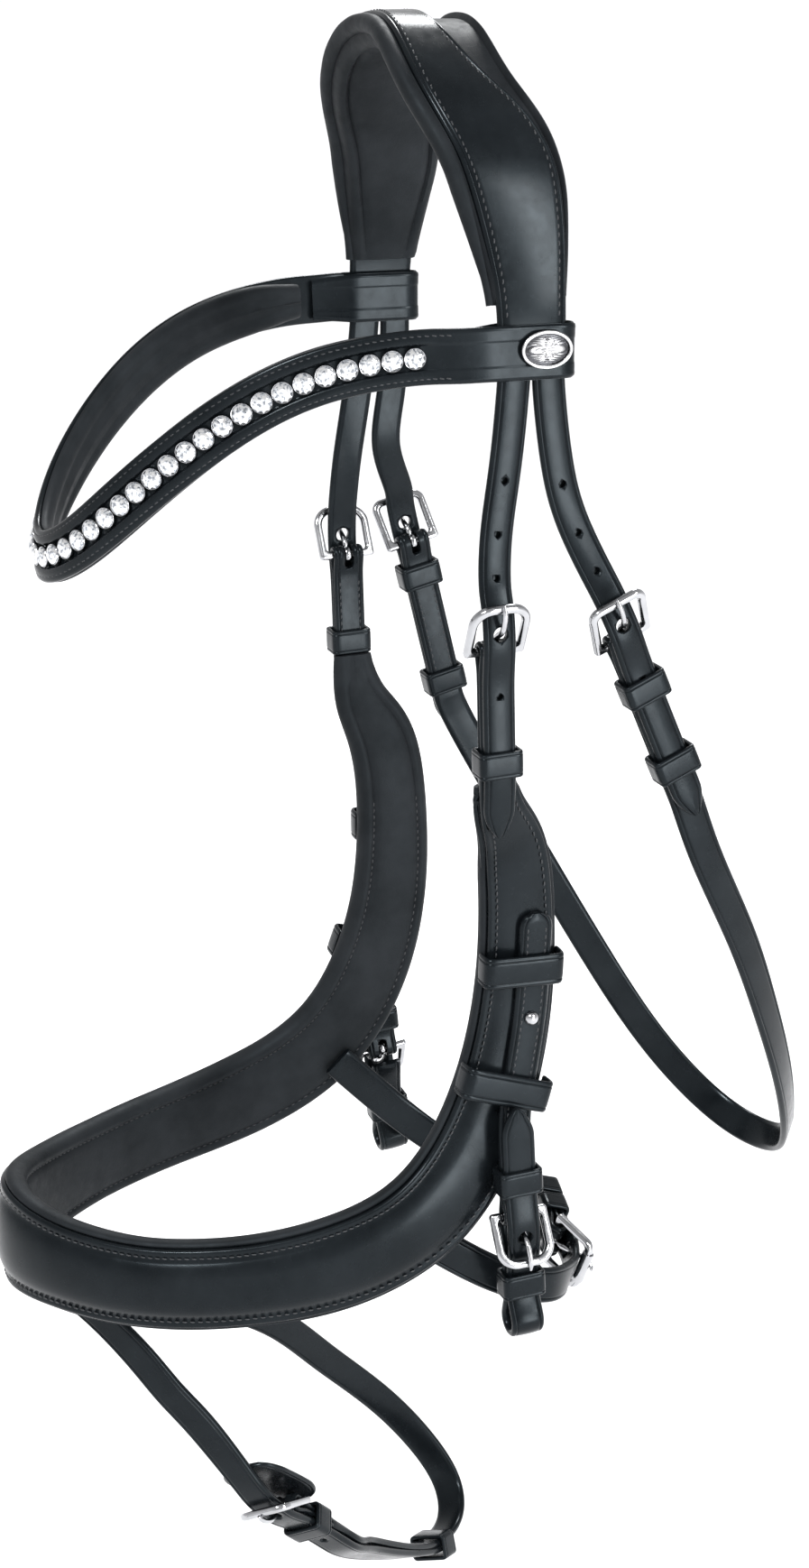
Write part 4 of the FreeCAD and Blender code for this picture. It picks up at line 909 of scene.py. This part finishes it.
for sign, widths in nose_edges:
    reach = widths * np.clip(0.6 + nose.u * 40, 0, 1) * np.clip(0.6 + (1 - nose.u) * 40, 0, 1)
    spots = nose.p + nose.side * (sign * (reach + 0.35))[:, None] - nose.face * (nose_high + 0.35)[:, None]
    welts.append(rod(spots[3:-3], np.full(len(spots) - 6, 1.15), 8))
give(mesh_of("noseband_piping", *joined(welts), BRIDLE), "noseband", "leather")
above = inside(nose, nose_high, 1, -0.25)  # the seams' height, just proud of the leather
rows = [(nose, inside(nose, widths, sign), above, 3, nose.length - 3) for sign, widths in nose_edges]
for side in ("left", "right"):
    site = SITES[f"cheek_{side}"]
    leaf = chape(f"cheek_chape_{side}", "noseband_leather", site, TURN["cheek", side], 6.0)
    rows += leaf_rows(leaf, 6.0, 36, True, FINE_SEAM)
inner = Course(nose_pad.p, -nose_pad.face)
for sign, widths in ((-1, NOSE_FRONT), (1, NOSE_BACK)):
    seam = inside(inner, spread(both_ways(widths), inner), sign, 4.5)
    rows.append((inner, seam, NOSE_THICK / 2 + 6.2, 60, inner.length - 60))
give(stitching("noseband_stitching", rows), "noseband", "leather")

# -------- buckles' tongues

for side in ("left", "right"):
    for kind in ("cheek", "throat", "bit"):
        name = f"{kind}_tongue_{side}"
        made = tongue_look(f"{name}_look", SITES[f"{kind}_{side}"])
        give(made, name, "steel", name)
for kind, lift in (("flash", 0.0), ("chin", 0.9)):
    name = f"{kind}_tongue"
    give(tongue_look(f"{name}_look", SITES[kind], lift), name, "steel", name)

# -------- keepers


def site_keeper(name, site, t, width, low=KEEPER_LOW, high=KEEPER_HIGH):
    made = ring_loop(f"{name}_look", site.spot(t, 0), site.x, site.y, site.z, width, low, high)
    give(made, BODY_OF[name], "leather", name)


for side in ("left", "right"):
    site_keeper(f"cheek_keeper_{side}", SITES[f"cheek_{side}"], CHEEK_KEEPER[side], STRAP + 0.5)
    site_keeper(f"bit_keeper_upper_{side}", SITES[f"bit_{side}"], -14, BIT)
    site_keeper(f"bit_keeper_lower_{side}", SITES[f"bit_{side}"], 27, BIT, -3.1, 3.2)
    upper, lower = THROAT_KEEPERS[side]
    site_keeper(f"throat_keeper_upper_{side}", SITES[f"throat_{side}"], upper, STRAP + 1)
    site_keeper(f"throat_keeper_{side}", SITES[f"throat_{side}"], lower, STRAP + 1)
site_keeper("flash_keeper_inner", SITES["flash"], -15, FLASH)
site_keeper("chin_keeper_inner", SITES["chin"], -14, CHIN)
site_keeper("chin_keeper_outer", SITES["chin"], -25, CHIN)
give(ring_loop("flash_loop_look", FLASH_LOOP_PLACE, *np.eye(3)[[2, 0, 1]], FLASH + 2, -HALF_THICK - 1,
               HALF_THICK + 1.3, 8), BODY_OF["flash_loop"], "leather", "flash_loop")


def side_keeper(name, share, room_above, sign):
    """A strip across the cheek leather that holds the bit strap."""
    place = NOSE.course(1.0)
    d = share * place.length
    p, along, side, face = place.at(d)
    left = np.interp(d, nose.d, nose_front) + 0.9
    right = np.interp(d, nose.d, nose_back) + room_above
    low = -NOSE_THICK / 2 + 0.2
    high = NOSE_THICK / 2 + 0.25 + STRAP_THICK + room_above
    w = WALL / 2
    arch = [(w, low, 1, 0), (w, high - 2.0, 1, 0.1), (0.1, high + 0.2, 0.8, 0.7), (-1.8, high + w, 0.1, 1),
            (-8, high + w + 0.15, 0, 1)]
    rows = [(left + s, n, fs, fn) for s, n, fs, fn in arch] + [(0, high + w + 0.2, 0, 1)]
    rows += [(-right - s, n, -fs, fn) for s, n, fs, fn in arch[::-1]]
    flip = np.array([sign, 1, 1])
    course = Line([(*((p + side * s + face * n) * flip), *((side * fs + face * fn) * flip))
                   for s, n, fs, fn in rows]).course(0.9)
    half = KEEPER_HEIGHT * 0.625
    strap(name, course, half, w, 0.05)


for side, sign in SIDES:
    upper, lower = SIDE_KEEPERS[side]
    side_keeper(f"side_keeper_upper_{side}", upper, 1.0, sign)
    side_keeper(f"side_keeper_lower_{side}", lower, 2.0, sign)

# -------- straps to the bit


def thick_end(distance):
    """Half thickness of a strap at a distance from its turned end, which it meets flush."""
    return HALF_THICK + (leaves - HALF_THICK) * np.clip(1 - distance / 12, 0, 1)


def stud(name, centre, out):
    """A domed hook stud on a shank."""
    side = unit(np.cross(out, (0, 0, 1.0)))
    other = np.cross(out, side)
    profile = [(1.2, -2.4), (1.2, 0), (2.35, 0.05), (2.6, 0.5), (2.5, 1.2), (2.05, 1.9), (1.3, 2.4),
               (0.4, 2.62)]
    verts = [centre + out * h + (side * math.cos(a) + other * math.sin(a)) * r
             for r, h in profile for a in circle(28)]
    return mesh_of(name, verts, tube_faces(len(profile), 28), STEEL)


for side, sign in SIDES:
    site = SITES[f"bit_{side}"]
    rows = HANGER_HALF if side == "left" else mirrored(HANGER_HALF)
    course = Line(rows + site.stations((-22, 0.2), (-17, 0))).course(1.6)
    hanger = f"bit_hanger_{side}"
    half = rounded_end(course.d, BIT / 2)
    strap(hanger, course, half, thick_end(course.length - course.d))
    leaf = chape(f"bit_chape_{side}", hanger, site, 18, BIT / 2)
    stitches = edge_rows(course, BIT / 2, HALF_THICK + 0.12, 5, course.length - 3)
    stitches += leaf_rows(leaf, BIT / 2, 10)
    give(stitching(f"bit_hanger_stitching_{side}", stitches), "noseband", "leather")
    out = np.array([sign, 0, 0.0])
    seat = STUD_PLACE * (sign, 1, 1) + out * (HALF_THICK + 0.15)
    give(stud(f"hook_stud_{side}", seat, out), "noseband", "steel", "hook_studs")
    ring = BIT_BORE + HALF_THICK
    rows = site.through((-42, -30, -18), (15.5, 3.9), (21, 2.2), (27, 1.7), (31.5, 1.85))
    for i in range(13):
        angle = math.radians(28 - 236 * i / 12)
        way = site.z * math.cos(angle) - site.y * math.sin(angle)
        rows.append((*(site.spot(41, 0.3) + way * ring), *way))
    back = [(31.5, -1.6), (27, -1.65), (19, -1.8), (9, -4.3), (4.5, -5.3)]
    rows += [site.station(t, n, 0, -1) for t, n in back]
    course = Line(rows).course(1.2)
    holes = [drill(site.spot(TONGUE_HOLE, 5), site.z, PINNED_RADIUS, 5),
             drill(site.spot(-15, 4), site.z, 1.5, 4)]
    strap(f"bit_strap_{side}", course, tipped(course, BIT / 2), holes=holes)

# -------- throatlatch

left, right = SITES["throat_left"], SITES["throat_right"]
near, far = 1 - TURN["throat", "left"], 1 - TURN["throat", "right"]
rows = left.stations((near, 0), (near - 5, 0), (near - 13, -0.4)) + THROAT_FREE
rows += right.stations((far - 5, 0), (far, 0))
course = Line(rows).course(2.0)
half = STRAP / 2 + 0.5
strap("throat_strap", course, half, thick_end(course.from_ends), 0.15)
stitches = []
for side, site in (("left", left), ("right", right)):
    reach = TURN["throat", side]
    leaf = chape(f"throat_chape_{side}", "throat_strap", site, reach, half)
    stitches += leaf_rows(leaf, half, reach - 9, True)
give(stitching("throat_stitching", stitches), "throatlatch", "leather")

# -------- flash strap

site = SITES["flash"]
rows = FLASH_TIP + site.through((-40, -28, -17), (15.5, 4.1), (24, 1.5))
rows += FLASH_FRONT + site.stations((-43, 0), (-36, 0), (-28, 0), (-23, 0))
course = Line(rows).course(1.6)
holes = [drill(site.spot(TONGUE_HOLE, 5), site.z, PINNED_RADIUS, 5),
         drill(site.spot(-26, 4), site.z, 1.5, 5)]
strap("flash_strap", course, tipped(course, FLASH / 2), thick_end(course.length - course.d), 0.03, holes)
far_half = np.arange(len(course.d)) > len(course.d) // 2
gap = np.linalg.norm(course.p - np.array(FLASH_END_KEEPER), axis=1)
nearest = course.d[np.where(far_half, gap, np.inf).argmin()]
p, along, across, face = course.at(nearest)
give(ring_loop("flash_keeper_outer_look", p, across, along, face, FLASH, -HALF_THICK - 0.2, KEEPER_HIGH),
     "flash", "leather", "flash_keeper_outer")
leaf = chape("flash_chape", "flash_strap", site, 24, FLASH / 2)
give(stitching("flash_stitching", leaf_rows(leaf, FLASH / 2, 15)), "flash", "leather")
course = Line(site.stations((-8, -5.2), (6, -5.4), (20, -4.6), (30, -4.4))).course(0.9)
strap("flash_guard", course, rounded_end(course.from_ends, 13.0), 0.9, 0.05)

# -------- chin strap

site = SITES["chin"]
course = Line(CHIN_FAR + site.stations((-40, -0.4), (-30, 0), (-25, 0))).course(1.6)
strap("chin_strap_far", course, CHIN / 2, thick_end(course.length - course.d), 0.15)
leaf = chape("chin_chape", "chin_strap_far", site, 26, CHIN / 2)
stitches = leaf_rows(leaf, CHIN / 2, 17)
stitches += edge_rows(course, CHIN / 2, HALF_THICK + 0.12, 4, course.length - 3)
give(stitching("chin_stitching", stitches), BODY_OF["chin_strap_far"], "leather")
course = Line(site.through((-32, -25, -17), (15.5, 3.7), (22, 1.0)) + CHIN_NEAR).course(1.4)
holes = [drill(site.spot(TONGUE_HOLE, 5), site.z, PINNED_RADIUS, 5)]
strap("chin_strap_near", course, tipped(course, CHIN / 2), crown=0.15, holes=holes)

# -------- steel from the frame

for name, made in frame["nodes"].items():
    if not made.hide_render:
        made.data.materials.clear()
        made.data.materials.append(STEEL)

# -------- floor, light, camera


def pale(name, tone):
    g = Graph(name)
    low = tuple(c * 0.97 for c in tone)
    g.set(Base_Color=g.ramp(g.noise(3, 2), (0.3, low), (0.7, tone)), Roughness=0.85)
    return g.material


wide, level = 60000, -660
corners = [(-wide, -wide, level), (wide, -wide, level), (wide, wide, level), (-wide, wide, level)]
floor = mesh_of("floor", corners, [(0, 1, 2, 3)], pale("pale_floor", (0.93, 0.93, 0.94)), smooth=False)
world = bpy.data.worlds.new("studio")
bpy.context.scene.world = world
world.use_nodes = True
sky = world.node_tree
background = sky.nodes["Background"]
heading = sky.nodes.new("ShaderNodeTexCoord")
height = sky.nodes.new("ShaderNodeSeparateXYZ")
shade = sky.nodes.new("ShaderNodeValToRGB")
sky.links.new(height.inputs[0], heading.outputs["Generated"])
sky.links.new(shade.inputs[0], height.outputs["Z"])
sky.links.new(background.inputs["Color"], shade.outputs[0])
for element, (position, tone) in zip(shade.color_ramp.elements, ((0.02, 1.0), (0.65, 0.5))):
    element.position = position
    element.color = (tone, tone, tone * 1.01, 1)
background.inputs["Strength"].default_value = 0.95


def softbox(name, place, target, size, power):
    data = bpy.data.lights.new(name, "AREA")
    data.shape, data.size, data.size_y, data.energy = "RECTANGLE", size[0], size[1], power
    lamp = bpy.data.objects.new(name, data)
    lamp.location = place
    lamp.rotation_euler = (Vector(target) - Vector(place)).to_track_quat("-Z", "Y").to_euler()
    bpy.context.scene.collection.objects.link(lamp)


softbox("fill", (1.6, 0.9, 0.7), (0, 0, -0.25), (0.3, 1.0), 20)
softbox("low", (1.35, 0.5, -0.32), (0, 0, -0.25), (0.3, 0.7), 9)
softbox("back", (-1.2, 0.6, 1.2), (0, 0, -0.25), (0.6, 0.4), 26)
key = bpy.data.objects.new("key", bpy.data.lights.new("key", "SUN"))
key.data.energy, key.data.angle = 2.7, math.radians(14)
key.rotation_euler = Vector((0.9, -0.9, 1.4)).to_track_quat("Z", "Y").to_euler()
bpy.context.scene.collection.objects.link(key)

camera = bpy.data.cameras.new("camera")
camera.lens, camera.sensor_width = 59.03, 36.0
eye = bpy.data.objects.new("camera", camera)
azimuth, elevation, away = math.radians(70), math.radians(18), 0.95
back = Vector((math.sin(azimuth) * math.cos(elevation), -math.cos(azimuth) * math.cos(elevation),
               math.sin(elevation)))
eye.location = Vector((0, -0.006, -0.261)) + back * away
eye.rotation_euler = back.to_track_quat("Z", "Y").to_euler()
bpy.context.scene.collection.objects.link(eye)
bpy.context.scene.camera = eye
bpy.context.scene.view_settings.view_transform = "Standard"
